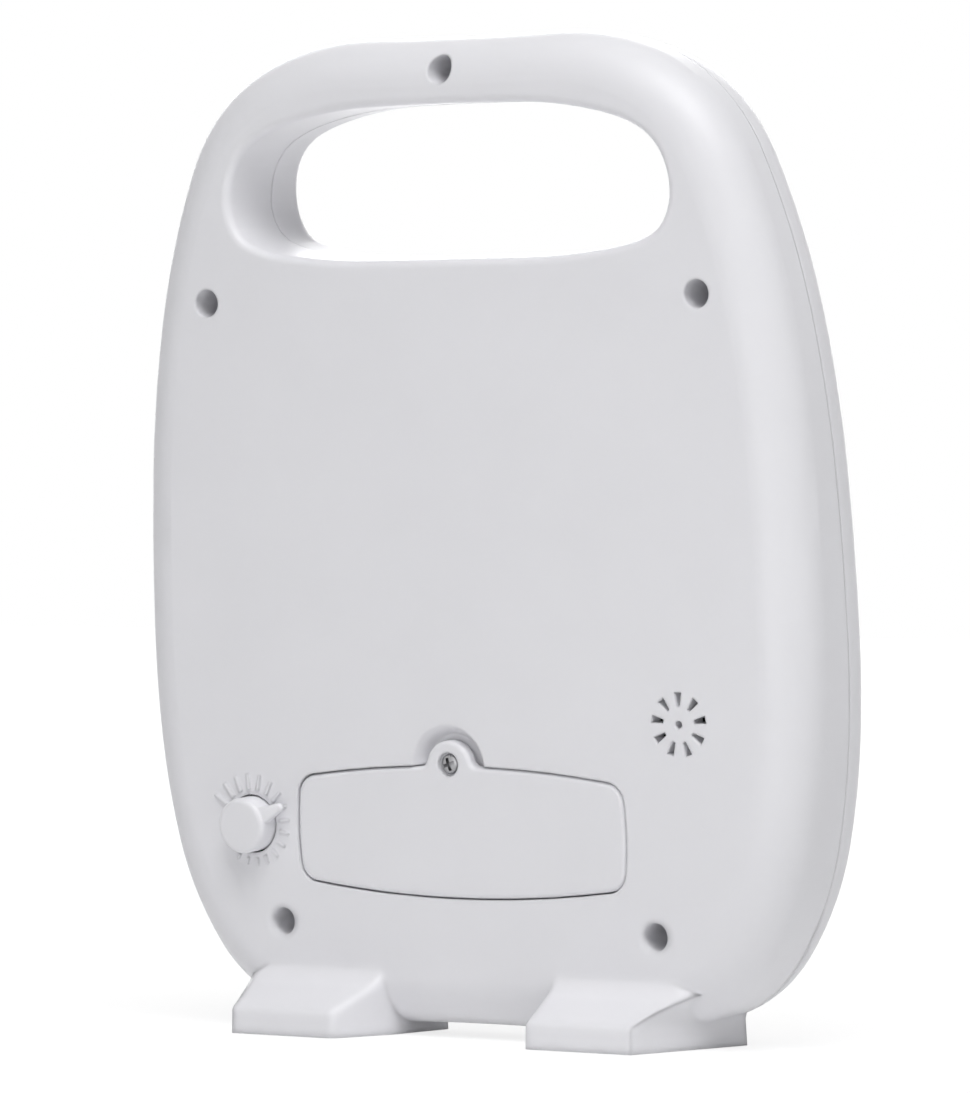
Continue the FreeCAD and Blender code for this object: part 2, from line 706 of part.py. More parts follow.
def volume_ridges():
    """Rays moulded round the volume knob, from long to short as the sound gets softer."""
    surface = rear_surface(VOLUME_HEIGHT)
    place = Vector(VOLUME_X, surface, VOLUME_HEIGHT)
    ridges = []
    for number in range(RIDGE_COUNT):
        share = number / (RIDGE_COUNT - 1)
        length = RIDGE_LENGTHS[0] + (RIDGE_LENGTHS[1] - RIDGE_LENGTHS[0]) * share
        angle = RIDGE_ANGLES[0] + (RIDGE_ANGLES[1] - RIDGE_ANGLES[0]) * share
        half = 0.22 + 0.06 * length
        points = [
            Vector(VOLUME_X + along, surface - 0.5, VOLUME_HEIGHT + across)
            for along, across in (
                (RIDGE_START, -half),
                (RIDGE_START + length, -half * 0.6),
                (RIDGE_START + length, half * 0.6),
                (RIDGE_START, half),
            )
        ]
        ridge = Part.Face(Part.makePolygon(points + points[:1])).extrude(Vector(0, 0.5 + RIDGE_STANDS, 0))
        ridge.rotate(place, Vector(0, 1, 0), -angle)
        ridge.rotate(place, Vector(1, 0, 0), math.degrees(math.atan(REAR_TAPER)))
        ridges.append(ridge)
    return ridges


def grille():
    """Tapered slots fanned round a small hole, through the rear wall over the speaker."""
    tools = [cylinder(GRILLE_CENTRE_RADIUS, 10, REAR_DEPTH + 1, SPEAKER_X, SPEAKER_HEIGHT)]
    for number in range(GRILLE_SLOTS):
        angle = 90 + 360 * number / GRILLE_SLOTS
        corners = []
        for radius, width in (
            (GRILLE_INNER, SLOT_INNER_WIDTH),
            (GRILLE_OUTER, SLOT_OUTER_WIDTH),
        ):
            for sign in (1, -1) if radius == GRILLE_OUTER else (-1, 1):
                spread = math.degrees(math.asin(sign * width / 2 / radius))
                corners.append(polar(radius, angle + spread, (SPEAKER_X, SPEAKER_HEIGHT)))
        points = [Vector(x, 10, z) for x, z in corners]
        face = Part.Face(Part.makePolygon(points + points[:1]))
        tools.append(face.extrude(Vector(0, REAR_DEPTH - 9, 0)))
    return tools


def board_holes():
    dx, dz = BOARD_WIDTH / 2 - 3.5, BOARD_BREADTH / 2 - 3.5
    return [(x, BOARD_HEIGHT + z) for x in (-dx, dx) for z in (-dz, dz)]


def volume_board_holes():
    return [(VOLUME_X + 3.0, VOLUME_HEIGHT + 11.5), (VOLUME_X + 3.0, VOLUME_HEIGHT - 10.6)]


def make_housing_screws():
    return Part.makeCompound(
        [
            screw(SCREW_RADIUS, HOUSING_SCREW_LENGTH, SCREW_HEAD_RADIUS, SCREW_HEAD_HEIGHT, x, WELL_FLOOR, z)
            for x, z in wells()
        ]
    )


def make_lens():
    y = front(LENS_RECESS)
    plate = window(LENS_LEDGE, y, y + LENS_THICKNESS)
    return plate.cut(cylinder(STEM_RADIUS + STEM_GAP, y - 1, y + LENS_THICKNESS + 1, 0, DIAL_HEIGHT))


def helicoid(inner, outer, start, end, base, thickness):
    """A spiral ramp about the dial's axis, as a fan of flat facets. Angles run
    anticlockwise from the top as seen from the front, and the ramp comes forward by the pitch
    in a full turn. base is how far its mid-surface lies behind the front face at the angle 0."""

    def corner(radius, angle, side):
        x, z = polar(radius, 90 + angle, (0, DIAL_HEIGHT))
        return Vector(x, front(base) - pitch * angle / 360 + side * thickness / 2, z)

    def facet(*points):
        return Part.Face(Part.makePolygon(list(points) + [points[0]]))

    faces = []
    angles = [start + (end - start) * step / RAMP_STEPS for step in range(RAMP_STEPS + 1)]
    for this, after in zip(angles, angles[1:]):
        for side in (-1, 1):
            here = [corner(radius, this, side) for radius in (inner, outer)]
            there = [corner(radius, after, side) for radius in (inner, outer)]
            faces.append(facet(here[0], here[1], there[1]))
            faces.append(facet(here[0], there[1], there[0]))
        for radius in (inner, outer):
            ring = [corner(radius, this, -1), corner(radius, after, -1)]
            faces.append(facet(*ring, corner(radius, after, 1), corner(radius, this, 1)))
    for angle in (start, end):
        ring = [corner(inner, angle, -1), corner(outer, angle, -1)]
        faces.append(facet(*ring, corner(outer, angle, 1), corner(inner, angle, 1)))
    skin = Part.makeCompound(faces)
    skin.sewShape(0.001)
    solid = Part.Solid(skin.Shells[0])
    return solid if solid.Volume > 0 else solid.reversed()


def make_dial():
    back = front(TRAY_FACE + TRAY_THICKNESS)
    tray = window(LENS_LEDGE, front(LENS_RECESS + LENS_THICKNESS), back)
    tray = tray.cut(window(LENS_LEDGE - TRAY_RIM, front(0), front(TRAY_FACE)))
    lugs = [
        bar(EAR_RADIUS, front(TRAY_FACE + 0.5), back, x, DIAL_HEIGHT + z) for x, z in ears()
    ]
    for lug, (x, z) in zip(list(lugs), ears()):
        # a short arm joins each ear to the tray
        length = math.hypot(x, z)
        arm = block((-EAR_RADIUS, EAR_RADIUS), (front(TRAY_FACE + 0.5), back), (WINDOW_RADIUS, length))
        arm.rotate(Vector(0, 0, 0), Vector(0, 1, 0), math.degrees(math.atan2(x, z)))
        arm.translate(Vector(0, 0, DIAL_HEIGHT))
        lugs.append(arm)
    tray = fuse([tray] + lugs)
    tray = tray.cut(cylinder(dial_well_radius, front(0), back + 1, 0, DIAL_HEIGHT))
    tray = tray.cut(
        [bar(SMALL_SCREW_RADIUS + 0.15, front(0), back + 1, x, DIAL_HEIGHT + z) for x, z in ears()]
    )
    ramp = helicoid(
        HUB_RADIUS + HUB_CLEARANCE,
        dial_well_radius + 0.4,
        SLIT_ANGLE,
        360 - SLIT_ANGLE,
        dial_datum,
        DIAL_THICKNESS,
    )
    return tray.fuse(ramp)


def make_time_disk():
    turned = 6 * REST_MINUTES
    ramp = helicoid(
        HUB_RADIUS - 0.4,
        disk_radius,
        SLIT_ANGLE + turned,
        360 - SLIT_ANGLE + turned,
        dial_datum + disk_offset,
        DISK_THICKNESS,
    )
    advance = pitch * turned / 360
    back = front(dial_datum + HUB_LENGTH / 2 - advance)
    hub = cylinder(HUB_RADIUS, back - HUB_LENGTH, back, 0, DIAL_HEIGHT)
    bore = keyed_bar(SHAFT_RADIUS + RUNNING_GAP, SHAFT_FLAT + RUNNING_GAP, back - HUB_LENGTH - 1, back + 1)
    return hub.fuse(ramp).cut(bore)


def keyed_bar(radius, flat, y_from, y_to):
    """A round bar on the dial's axis with a flat along its upper side."""
    bar = cylinder(radius, y_from, y_to, 0, DIAL_HEIGHT)
    side = block((-radius, radius), (y_from - 1, y_to + 1), (DIAL_HEIGHT + flat, DIAL_HEIGHT + 2 * radius))
    return bar.cut(side)


def make_setting_knob():
    back = front(-KNOB_LIFT)
    face = back - KNOB_HEIGHT
    knob = cylinder(KNOB_RADIUS, face, back, 0, DIAL_HEIGHT)
    bevel = cone(KNOB_RADIUS - KNOB_ROLL, KNOB_RADIUS, face, face + KNOB_ROLL, 0, DIAL_HEIGHT)
    knob = knob.common(bevel.fuse(cylinder(KNOB_RADIUS, face + KNOB_ROLL, back, 0, DIAL_HEIGHT)))
    hollow = cylinder(KNOB_RADIUS - KNOB_WALL, face + 3.2, back + 1, 0, DIAL_HEIGHT)
    core = cylinder(STEM_RADIUS + 0.8, face + 3.0, back + 1, 0, DIAL_HEIGHT)
    knob = knob.cut(hollow.cut(core))
    stem = cylinder(STEM_RADIUS, back - 1, front(LENS_RECESS + LENS_THICKNESS + 0.4), 0, DIAL_HEIGHT)
    flutes = []
    for number in range(KNOB_FLUTES):
        x, z = polar(KNOB_RADIUS + FLUTE_RADIUS * 0.5, 360 * number / KNOB_FLUTES, (0, DIAL_HEIGHT))
        flutes.append(cylinder(FLUTE_RADIUS, face - 1, back + 1, x, z))
    socket = keyed_bar(SHAFT_RADIUS + 0.03, SHAFT_FLAT + 0.03, face + 3.6, back + 5)
    return knob.fuse(stem).cut(flutes).cut(socket)


def make_centre_shaft():
    start = front(-KNOB_LIFT) - KNOB_HEIGHT + 3.6
    end = front(CHASSIS_FACE + CHASSIS_THICKNESS + MOVEMENT_DEPTH - MOVEMENT_WALL)
    key = keyed_bar(SHAFT_RADIUS, SHAFT_FLAT, start, front(CHASSIS_FACE))
    journal = cylinder(SHAFT_RADIUS, front(CHASSIS_FACE), level_y(0) + 1.75, 0, DIAL_HEIGHT)
    tail = cylinder(1.0, level_y(0) + 1.75, end, 0, DIAL_HEIGHT)
    return fuse([key, journal, tail])


def slot_face(a, b, radius, y):
    """A round-ended bar between two points, as a flat face."""
    ax, az = a
    bx, bz = b
    length = math.hypot(bx - ax, bz - az)
    nx, nz = -(bz - az) / length * radius, (bx - ax) / length * radius
    ex, ez = (bx - ax) / length * radius, (bz - az) / length * radius
    p1, p2 = Vector(ax + nx, y, az + nz), Vector(bx + nx, y, bz + nz)
    p3, p4 = Vector(bx - nx, y, bz - nz), Vector(ax - nx, y, az - nz)
    lines = [
        Part.LineSegment(p1, p2),
        Part.Arc(p2, Vector(bx + ex, y, bz + ez), p3),
        Part.LineSegment(p3, p4),
        Part.Arc(p4, Vector(ax - ex, y, az - ez), p1),
    ]
    return Part.Face(Part.Wire([line.toShape() for line in lines]))


def movement_plate(inset, y_from, y_to):
    """The movement's rounded outline, as a plate."""
    half = MOVEMENT_WIDTH / 2 - inset
    plate = block(
        (-half, half),
        (y_from, y_to),
        (DIAL_HEIGHT - MOVEMENT_BELOW + inset, DIAL_HEIGHT + MOVEMENT_ABOVE - inset),
    )
    return round_edges(plate, MOVEMENT_CORNER - inset, lambda e, m: along_y(e))


def movement_screws():
    """The movement's two screws, from the dial's centre."""
    across = MOVEMENT_WIDTH / 2 - 3.5
    return [(across, 3.4 - MOVEMENT_BELOW), (-across, MOVEMENT_ABOVE - 3.6)]


def make_chassis():
    y, back = front(CHASSIS_FACE), front(CHASSIS_FACE + CHASSIS_THICKNESS)
    plate = movement_plate(-1.0, y, back)
    arms = []
    for ex, ez in ears()[:4]:
        start = (math.copysign(14.0, ex), DIAL_HEIGHT + (14.0 if ez > 0 else -8.0))
        arm = slot_face(start, (ex, DIAL_HEIGHT + ez), EAR_RADIUS + 0.6, y)
        arms.append(arm.extrude(Vector(0, back - y, 0)))
        pad_from = front(TRAY_FACE + TRAY_THICKNESS)
        arms.append(bar(EAR_RADIUS, pad_from, back, ex, DIAL_HEIGHT + ez))
    plate = fuse([plate] + arms)
    cuts = [cylinder(5.0, y - 1, back + 1, 0, DIAL_HEIGHT)]
    for ex, ez in ears()[:4]:
        cuts.append(bar(SMALL_SCREW_RADIUS + 0.15, y - 3, back + 1, ex, DIAL_HEIGHT + ez))
    for x, z in movement_screws():
        cuts.append(bar(SMALL_SCREW_RADIUS + 0.15, y - 1, back + 1, x, DIAL_HEIGHT + z))
        cuts.append(bar(SMALL_HEAD_RADIUS + 0.15, y - 1, y + SMALL_HEAD_HEIGHT, x, DIAL_HEIGHT + z))
    return plate.cut(cuts)


def make_dial_screws():
    long_head = front(CHASSIS_FACE + CHASSIS_THICKNESS)
    short_head = front(TRAY_FACE + TRAY_THICKNESS)
    tip = front(2.0)
    screws = []
    for number, (x, z) in enumerate(ears()):
        seat = long_head if number < 4 else short_head
        screws.append(
            screw(
                SMALL_SCREW_RADIUS,
                seat - tip,
                SMALL_HEAD_RADIUS,
                SMALL_HEAD_HEIGHT,
                x,
                seat,
                DIAL_HEIGHT + z,
            )
        )
    return Part.makeCompound(screws)


def level_y(level):
    """The y of the front of each layer of the gear train."""
    inside = front(CHASSIS_FACE + CHASSIS_THICKNESS + MOVEMENT_WALL)
    return inside + 0.5 + level * LEVEL_PITCH


def train():
    """The arbors' places (x, z), from the centre wheel to the rotor."""
    centre = (0.0, DIAL_HEIGHT)
    third = polar(wheel_distance, THIRD_DIRECTION, centre)
    second = polar(wheel_distance, SECOND_DIRECTION, third)
    rotor = polar(rotor_distance, ROTOR_DIRECTION, second)
    return centre, third, second, rotor


def gear(teeth, thickness, y, centre, tooth_at, bore):
    """A spur gear with straight-flanked teeth, one of them pointing to the angle tooth_at."""
    radius = MODULE * teeth / 2
    tip, root = radius + 0.75 * MODULE, radius - 0.95 * MODULE
    tooth = math.pi * MODULE / 2 - BACKLASH
    tip_half = math.degrees((tooth / 2 - 0.75 * MODULE * TOOTH_SLOPE) / tip)
    root_half = math.degrees((tooth / 2 + 0.95 * MODULE * TOOTH_SLOPE) / root)
    points = []
    for number in range(teeth):
        middle = tooth_at + 360 * number / teeth
        for distance, offset in (
            (root, -root_half),
            (tip, -tip_half),
            (tip, tip_half),
            (root, root_half),
        ):
            x, z = polar(distance, middle + offset, centre)
            points.append(Vector(x, y, z))
    face = Part.Face(Part.makePolygon(points + points[:1]))
    solid = face.extrude(Vector(0, thickness, 0))
    return solid.cut(cylinder(bore, y - 1, y + thickness + 1, *centre)) if bore else solid


def gap_angle(teeth):
    return 180 / teeth


def make_centre_wheel():
    centre = train()[0]
    wheel = gear(WHEEL_TEETH, WHEEL_THICKNESS, level_y(0), centre, THIRD_DIRECTION, SHAFT_RADIUS + 0.05)
    windows = []
    for number in range(4):
        x, z = polar(7.2, 45 + 90 * number, centre)
        windows.append(cylinder(2.2, level_y(0) - 1, level_y(0) + 2, x, z))
    return wheel.cut(windows)


def make_third_wheel():
    _, third, _, _ = train()
    pinion_at = THIRD_DIRECTION + 180 + gap_angle(PINION_TEETH)
    pinion = gear(PINION_TEETH, LEVEL_PITCH, level_y(0) - 0.2, third, pinion_at, 0)
    wheel = gear(WHEEL_TEETH, WHEEL_THICKNESS, level_y(1), third, SECOND_DIRECTION, 0)
    return fuse([pinion, wheel, arbor(third)])


def make_second_wheel():
    _, _, second, _ = train()
    pinion_at = SECOND_DIRECTION + 180 + gap_angle(PINION_TEETH)
    pinion = gear(PINION_TEETH, LEVEL_PITCH, level_y(1) - 0.2, second, pinion_at, 0)
    wheel = gear(SECOND_TEETH, WHEEL_THICKNESS, level_y(2), second, ROTOR_DIRECTION, 0)
    return fuse([pinion, wheel, arbor(second)])


def make_rotor():
    rotor = train()[3]
    pinion_at = ROTOR_DIRECTION + 180 + gap_angle(PINION_TEETH)
    pinion = gear(PINION_TEETH, PINION_THICKNESS + 0.4, level_y(2) - 0.2, rotor, pinion_at, 0)
    start = level_y(2) + PINION_THICKNESS + 0.2
    magnet = cylinder(MAGNET_RADIUS, start, start + MAGNET_LENGTH, *rotor)
    return fuse([pinion, magnet, arbor(rotor)])


def arbor(place):
    ends = movement_inside()
    return cylinder(ARBOR_RADIUS, ends[0] - 0.8, ends[1] + 0.8, *place)


def movement_inside():
    """The y of the inner faces of the movement's front and back walls."""
    base = CHASSIS_FACE + CHASSIS_THICKNESS
    return front(base + MOVEMENT_WALL), front(base + MOVEMENT_DEPTH - MOVEMENT_WALL)


def make_movement_base():
    """The tray-shaped half of the movement's case, with its front wall and sides."""
    inner, outer_end = movement_inside()
    y = front(CHASSIS_FACE + CHASSIS_THICKNESS)
    tray = movement_plate(0.0, y, outer_end).cut(
        movement_plate(MOVEMENT_WALL, inner, outer_end + 1)
    )
    posts = [cylinder(2.0, y, outer_end, x, DIAL_HEIGHT + z) for x, z in movement_screws()]
    _, third, second, rotor = train()
    cuts = [cylinder(SHAFT_RADIUS + RUNNING_GAP, y - 1, inner + 1, 0, DIAL_HEIGHT)]
    for place in (third, second, rotor):
        cuts.append(cylinder(ARBOR_RADIUS + RUNNING_GAP, inner - 1.0, inner + 1, *place))
    cuts += [
        bar(SMALL_SCREW_RADIUS + SCREW_GAP, y - 1, y + 7, x, DIAL_HEIGHT + z)
        for x, z in movement_screws()
    ]
    return fuse([tray] + posts).cut(cuts)


def make_movement_cover():
    inner = movement_inside()[1]
    plate = movement_plate(0.0, inner, inner + MOVEMENT_WALL)
    pegs = [cylinder(1.4, stator_y() + STATOR_THICKNESS, inner, x, z) for x, z in core_ends()]
    plate = fuse([plate] + pegs)
    _, third, second, rotor = train()
    cuts = [cylinder(1.0 + RUNNING_GAP, inner - 1, inner + 3, 0, DIAL_HEIGHT)]
    for place in (third, second, rotor):
        cuts.append(cylinder(ARBOR_RADIUS + RUNNING_GAP, inner - 1, inner + 1.0, *place))
    return plate.cut(cuts)


def make_movement_screws():
    seat = front(CHASSIS_FACE)
    screws = []
    for x, z in movement_screws():
        shank = bar(SMALL_SCREW_RADIUS, seat + 1, seat + 7, x, DIAL_HEIGHT + z)
        head = bar(SMALL_HEAD_RADIUS, seat, seat + SMALL_HEAD_HEIGHT, x, DIAL_HEIGHT + z)
        height = DIAL_HEIGHT + z
        slot = block((x - 2, x + 2), (seat - 1, seat + 0.5), (height - 0.25, height + 0.25))
        screws.append(fuse([shank, head]).cut(slot))
    return Part.makeCompound(screws)


def make_clutch_spring():
    """The star washer that presses the centre wheel against the shaft's collar."""
    start = level_y(0) + WHEEL_THICKNESS
    washer = cone(4.6, 2.8, start, start + 0.7, 0, DIAL_HEIGHT)
    washer = washer.cut(cone(4.2, 2.4, start - 0.01, start + 0.5, 0, DIAL_HEIGHT))
    return washer.cut(cylinder(SHAFT_RADIUS + 0.02, start - 1, start + 2, 0, DIAL_HEIGHT))


def coil_place():
    """Where the coil lies: the middle (x, z) of its axis, which runs along x."""
    return 12.8 - MOVEMENT_WIDTH / 2, DIAL_HEIGHT + 5.0 - MOVEMENT_BELOW


def core_ends():
    """Where the coil's core meets the stator, at each end."""
    cx, cz = coil_place()
    reach = COIL_LENGTH / 2 + 1.9
    return (cx - reach, cz), (cx + reach, cz)


def stator_y():
    return level_y(2) + PINION_THICKNESS + 0.2 + (MAGNET_LENGTH - STATOR_THICKNESS) / 2


def make_stator():
    """The laminated plate that carries the coil's field round the rotor's magnet."""
    y = stator_y()
    x, z = train()[3]
    (left, cz), (right, _) = core_ends()
    faces = [
        slot_face((left, cz), (left, z - 4.0), 1.6, y),
        slot_face((left, z - 4.0), (x - 3.6, z - 1.0), 1.6, y),
        slot_face((right, cz), (right, cz + 5.0), 1.6, y),
        slot_face((right, cz + 5.0), (x + 3.6, z - 2.4), 1.6, y),
    ]
    bars = [face.extrude(Vector(0, STATOR_THICKNESS, 0)) for face in faces]
    ring = cylinder(MAGNET_RADIUS + STATOR_GAP + 1.8, y, y + STATOR_THICKNESS, x, z)
    plate = fuse(bars + [ring])
    return plate.cut(cylinder(MAGNET_RADIUS + STATOR_GAP, y - 1, y + 2, x, z))


def make_coil():
    """The wound bobbin, with a flange at each end and its core bar."""
    cx, cz = coil_place()
    y = stator_y() - 1.0

    def bar(radius, x_from, x_to):
        return Part.makeCylinder(radius, x_to - x_from, Vector(x_from, y, cz), Vector(1, 0, 0))

    ends = (cx - COIL_LENGTH / 2, cx + COIL_LENGTH / 2)
    pieces = [
        bar(COIL_RADIUS - 0.5, ends[0], ends[1]),
        bar(COIL_RADIUS, ends[0], ends[0] + 0.8),
        bar(COIL_RADIUS, ends[1] - 0.8, ends[1]),
        block((ends[0] - 3.2, ends[1] + 3.2), (y - 0.2, y + 1.0), (cz - 1.2, cz + 1.2)),
    ]
    return fuse(pieces)


def make_movement_board():
    y = movement_inside()[1]
    low = DIAL_HEIGHT - MOVEMENT_BELOW + MOVEMENT_WALL + 0.6
    plate = block((3.0, 18.0), (y - 1.4, y - 0.4), (low, low + 10.0))
    chip = cylinder(2.4, y - 2.4, y - 1.4, 7.5, low + 5.0)
    crystal = Part.makeCylinder(1.0, 6.0, Vector(14.5, y - 2.3, low + 2.0), Vector(0, 0, 1))
    pad = block((3.5, 17.5), (y - 0.4, y), (low + 0.5, low + 2.5))
    return fuse([plate, chip, crystal, pad])


def make_battery_door():
    """The door with its tab for the screw, two hooks at its foot and ribs that rest on the deck."""
    blank = prism(door_outline(-DOOR_GAP), 8, REAR_DEPTH + 1, DOOR_X, DOOR_HEIGHT)
    blank = blank.fuse(cylinder(TAB_RADIUS, 8, REAR_DEPTH + 1, TAB_X, TAB_HEIGHT)).removeSplitter()
    top = DOOR_HEIGHT + DOOR_HALF_HEIGHT - DOOR_GAP

    def beside_tab(edge, at):
        return along_y(edge) and abs(at.z - top) < 0.5 and abs(abs(at.x - TAB_X) - TAB_RADIUS) < 0.3

    blank = round_edges(blank, TAB_FILLET, beside_tab)
    depth = rear_surface(widest)
    plate = blank.common(square_to_rear(block((-60, 60), (depth - WALL, depth), (0, 80))))

    def tab_rim(edge, at):
        return at.z > top + TAB_FILLET and abs(at.y - rear_surface(at.z)) < 0.05

    plate = round_edges(plate, TAB_ROUND, tab_rim)
    added = []
    bottom = DOOR_HEIGHT - DOOR_HALF_HEIGHT
    for x in hooks_at():
        across = x - HOOK_WIDTH / 2, x + HOOK_WIDTH / 2
        added.append(block(across, (deck_depth + 0.1, deck_depth + 1.3), (bottom - 1.8, bottom + 3.0)))
        added.append(block(across, (deck_depth + 0.1, deck_depth + 1.6), (bottom + 1.2, bottom + 3.0)))
    inside = rear_surface(DOOR_HEIGHT) - WALL
    for side in (-1, 1):
        # a rib beside each end of the battery bay holds the door off its deck
        x = side * (tub_ends()[1] + 3.0)
        added.append(
            block((x - 0.7, x + 0.7), (deck_depth, inside + 0.5), (DOOR_HEIGHT - 6, DOOR_HEIGHT + 6))
        )
    face = rear_surface(DOOR_SCREW_HEIGHT)
    head = DOOR_SCREW_HEAD_RADIUS + 0.2
    return plate.multiFuse(added).cut(
        [
            cylinder(head, face - DOOR_SCREW_SINK, face + 2, TAB_X, DOOR_SCREW_HEIGHT),
            bar(SCREW_RADIUS + 0.1, 5, face, TAB_X, DOOR_SCREW_HEIGHT),
        ]
    )


def make_door_screw():
    seat = rear_surface(DOOR_SCREW_HEIGHT) - DOOR_SCREW_SINK
    return screw(
        SCREW_RADIUS, DOOR_SCREW_LENGTH, DOOR_SCREW_HEAD_RADIUS, 0.9, TAB_X, seat, DOOR_SCREW_HEIGHT
    )


def make_battery_cell():
    """One AA cell along x, its nub towards +x."""
    start = -CELL_LENGTH / 2 + CELL_SHIFT
    axis = Vector(1, 0, 0)
    can = Part.makeCylinder(CELL_RADIUS, CELL_LENGTH, Vector(start, cell_depth, CELL_HEIGHT), axis)
    can = can.makeChamfer(0.6, [edge for edge in can.Edges if not along_x(edge)])
    nub_at = Vector(start + CELL_LENGTH, cell_depth, CELL_HEIGHT)
    return can.fuse(Part.makeCylinder(CELL_NUB_RADIUS, CELL_NUB_LENGTH, nub_at, axis))


def tub_ends():
    end = CELL_LENGTH / 2 + CONTACT_SPACE / 2
    return -end, end


def contact_plate(x, thickness):
    height = CELL_RADIUS - 0.6
    return block(
        (x, x + thickness),
        (cell_depth - 5.5, cell_depth + 5.5),
        (CELL_HEIGHT - height, CELL_HEIGHT + height),
    )


def make_positive_contact():
    """A plate with a button that the cell's nub presses on."""
    end = tub_ends()[1]
    nub = -CELL_LENGTH / 2 + CELL_SHIFT + CELL_LENGTH + CELL_NUB_LENGTH
    plate = contact_plate(end - CONTACT_THICKNESS, CONTACT_THICKNESS)
    centre = Vector(nub, cell_depth, CELL_HEIGHT)
    length = end - CONTACT_THICKNESS - nub
    return fuse([plate, Part.makeCylinder(CELL_NUB_RADIUS, length, centre, Vector(1, 0, 0))])


def make_negative_contact():
    """A contact bent from one strip: a plate against the tub's end, and a sprung tongue that
    leans out from its foot to the cell and turns back."""
    end = tub_ends()[0]
    inner, tip = end + CONTACT_THICKNESS, -CELL_LENGTH / 2 + CELL_SHIFT
    low, high = CELL_HEIGHT - CELL_RADIUS + 0.6, CELL_HEIGHT + 3.0
    profile = [
        (inner, low),
        (tip, CELL_HEIGHT),
        (tip - 1.4, high),
        (tip - 1.4 - CONTACT_THICKNESS, high),
        (tip - CONTACT_THICKNESS * 1.1, CELL_HEIGHT),
        (inner, low + 2.0),
    ]
    points = [Vector(x, cell_depth - 2.6, z) for x, z in profile]
    tongue = Part.Face(Part.makePolygon(points + points[:1])).extrude(Vector(0, 5.2, 0))
    return fuse([contact_plate(end, CONTACT_THICKNESS), tongue])


def make_speaker():
    """The speaker's frame and magnet, with its cone behind the grille."""
    place = SPEAKER_X, SPEAKER_HEIGHT
    frame = cylinder(SPEAKER_RADIUS, speaker_seat - 4.8, speaker_seat, *place)
    bowl = cone(4.0, SPEAKER_RADIUS - 1.6, speaker_seat - 3.2, speaker_seat, *place)
    magnet = cylinder(8.0, speaker_seat - 8.0, speaker_seat - 4.7, *place)
    return frame.cut(bowl).fuse(magnet)


def make_speaker_cone():
    place = SPEAKER_X, SPEAKER_HEIGHT
    outside = cone(3.6, SPEAKER_RADIUS - 2.0, speaker_seat - 3.0, speaker_seat - 0.1, *place)
    inside = cone(3.2, SPEAKER_RADIUS - 2.4, speaker_seat - 2.7, speaker_seat, *place)
    dust_cap = Part.makeSphere(4.4, Vector(SPEAKER_X, speaker_seat - 4.8, SPEAKER_HEIGHT))
    dust_cap = dust_cap.common(block((-90, 90), (speaker_seat - 2.7, 30), (0, 180)))
    return outside.cut(inside).fuse(dust_cap)


def make_volume_pot():
    back = pot_face - 3.0
    body = cylinder(POT_RADIUS, back, pot_face, VOLUME_X, VOLUME_HEIGHT)
    height = VOLUME_HEIGHT - 6.3, VOLUME_HEIGHT - 5.7
    lugs = [block((x - 0.5, x + 0.5), (back - 2.0, back + 0.4), height) for x in pot_legs()]
    return body.multiFuse(lugs).cut(
        cylinder(VOLUME_SHAFT_RADIUS + RUNNING_GAP, pot_face - 2, pot_face + 1, VOLUME_X, VOLUME_HEIGHT)
    )


def pot_legs():
    return VOLUME_X - 2.5, VOLUME_X, VOLUME_X + 2.5


def make_volume_board():
    face = pot_face - 3.0
    board = block(
        (VOLUME_X - 8.0, VOLUME_X + 8.0),
        (face - BOARD_THICKNESS, face),
        (VOLUME_HEIGHT - 12.6, VOLUME_HEIGHT + 14.0),
    )
    cuts = [bar(SMALL_SCREW_RADIUS + 0.15, face - 2, face + 1, x, z) for x, z in volume_board_holes()]
    height = VOLUME_HEIGHT - 6.4, VOLUME_HEIGHT - 5.6
    cuts += [block((x - 0.6, x + 0.6), (face - 2, face + 1), height) for x in pot_legs()]
    return board.cut(cuts)


def make_board_screws():
    screws = []
    for places, seat in ((board_holes(), board_depth), (volume_board_holes(), pot_face - 4.6)):
        for x, z in places:
            one = screw(SMALL_SCREW_RADIUS, 5.0, SMALL_HEAD_RADIUS, SMALL_HEAD_HEIGHT, 0, 0, 0)
            one.rotate(Vector(0, 0, 0), Vector(0, 0, 1), 180)
            one.translate(Vector(x, seat, z))
            screws.append(one)
    return Part.makeCompound(screws)


def make_volume_knob():
    """The knob stands out of the shell on the control's shaft, with a pointer fin at its side."""
    surface = rear_surface(VOLUME_HEIGHT)
    end = surface + VOLUME_KNOB_STANDS
    knob = cylinder(VOLUME_KNOB_RADIUS, pot_face + 2, end, VOLUME_X, VOLUME_HEIGHT)
    knob = knob.makeChamfer(0.6, [edge for edge in knob.Edges if abs(middle(edge).y - end) < 0.01])
    shaft = cylinder(VOLUME_SHAFT_RADIUS, pot_face - 2, pot_face + 3, VOLUME_X, VOLUME_HEIGHT)
    corners = [(VOLUME_KNOB_RADIUS - 2, 1.5), (POINTER_REACH, 0.5), (POINTER_REACH, -0.5)]
    corners.append((VOLUME_KNOB_RADIUS - 2, -1.5))
    points = [Vector(VOLUME_X - along, surface + 1.2, VOLUME_HEIGHT + across) for along, across in corners]
    fin = Part.Face(Part.makePolygon(points + points[:1])).extrude(Vector(0, VOLUME_KNOB_STANDS - 1.8, 0))
    fin.rotate(Vector(VOLUME_X, 0, VOLUME_HEIGHT), Vector(0, 1, 0), POINTER_ANGLE)
    return fuse([knob, shaft, fin])


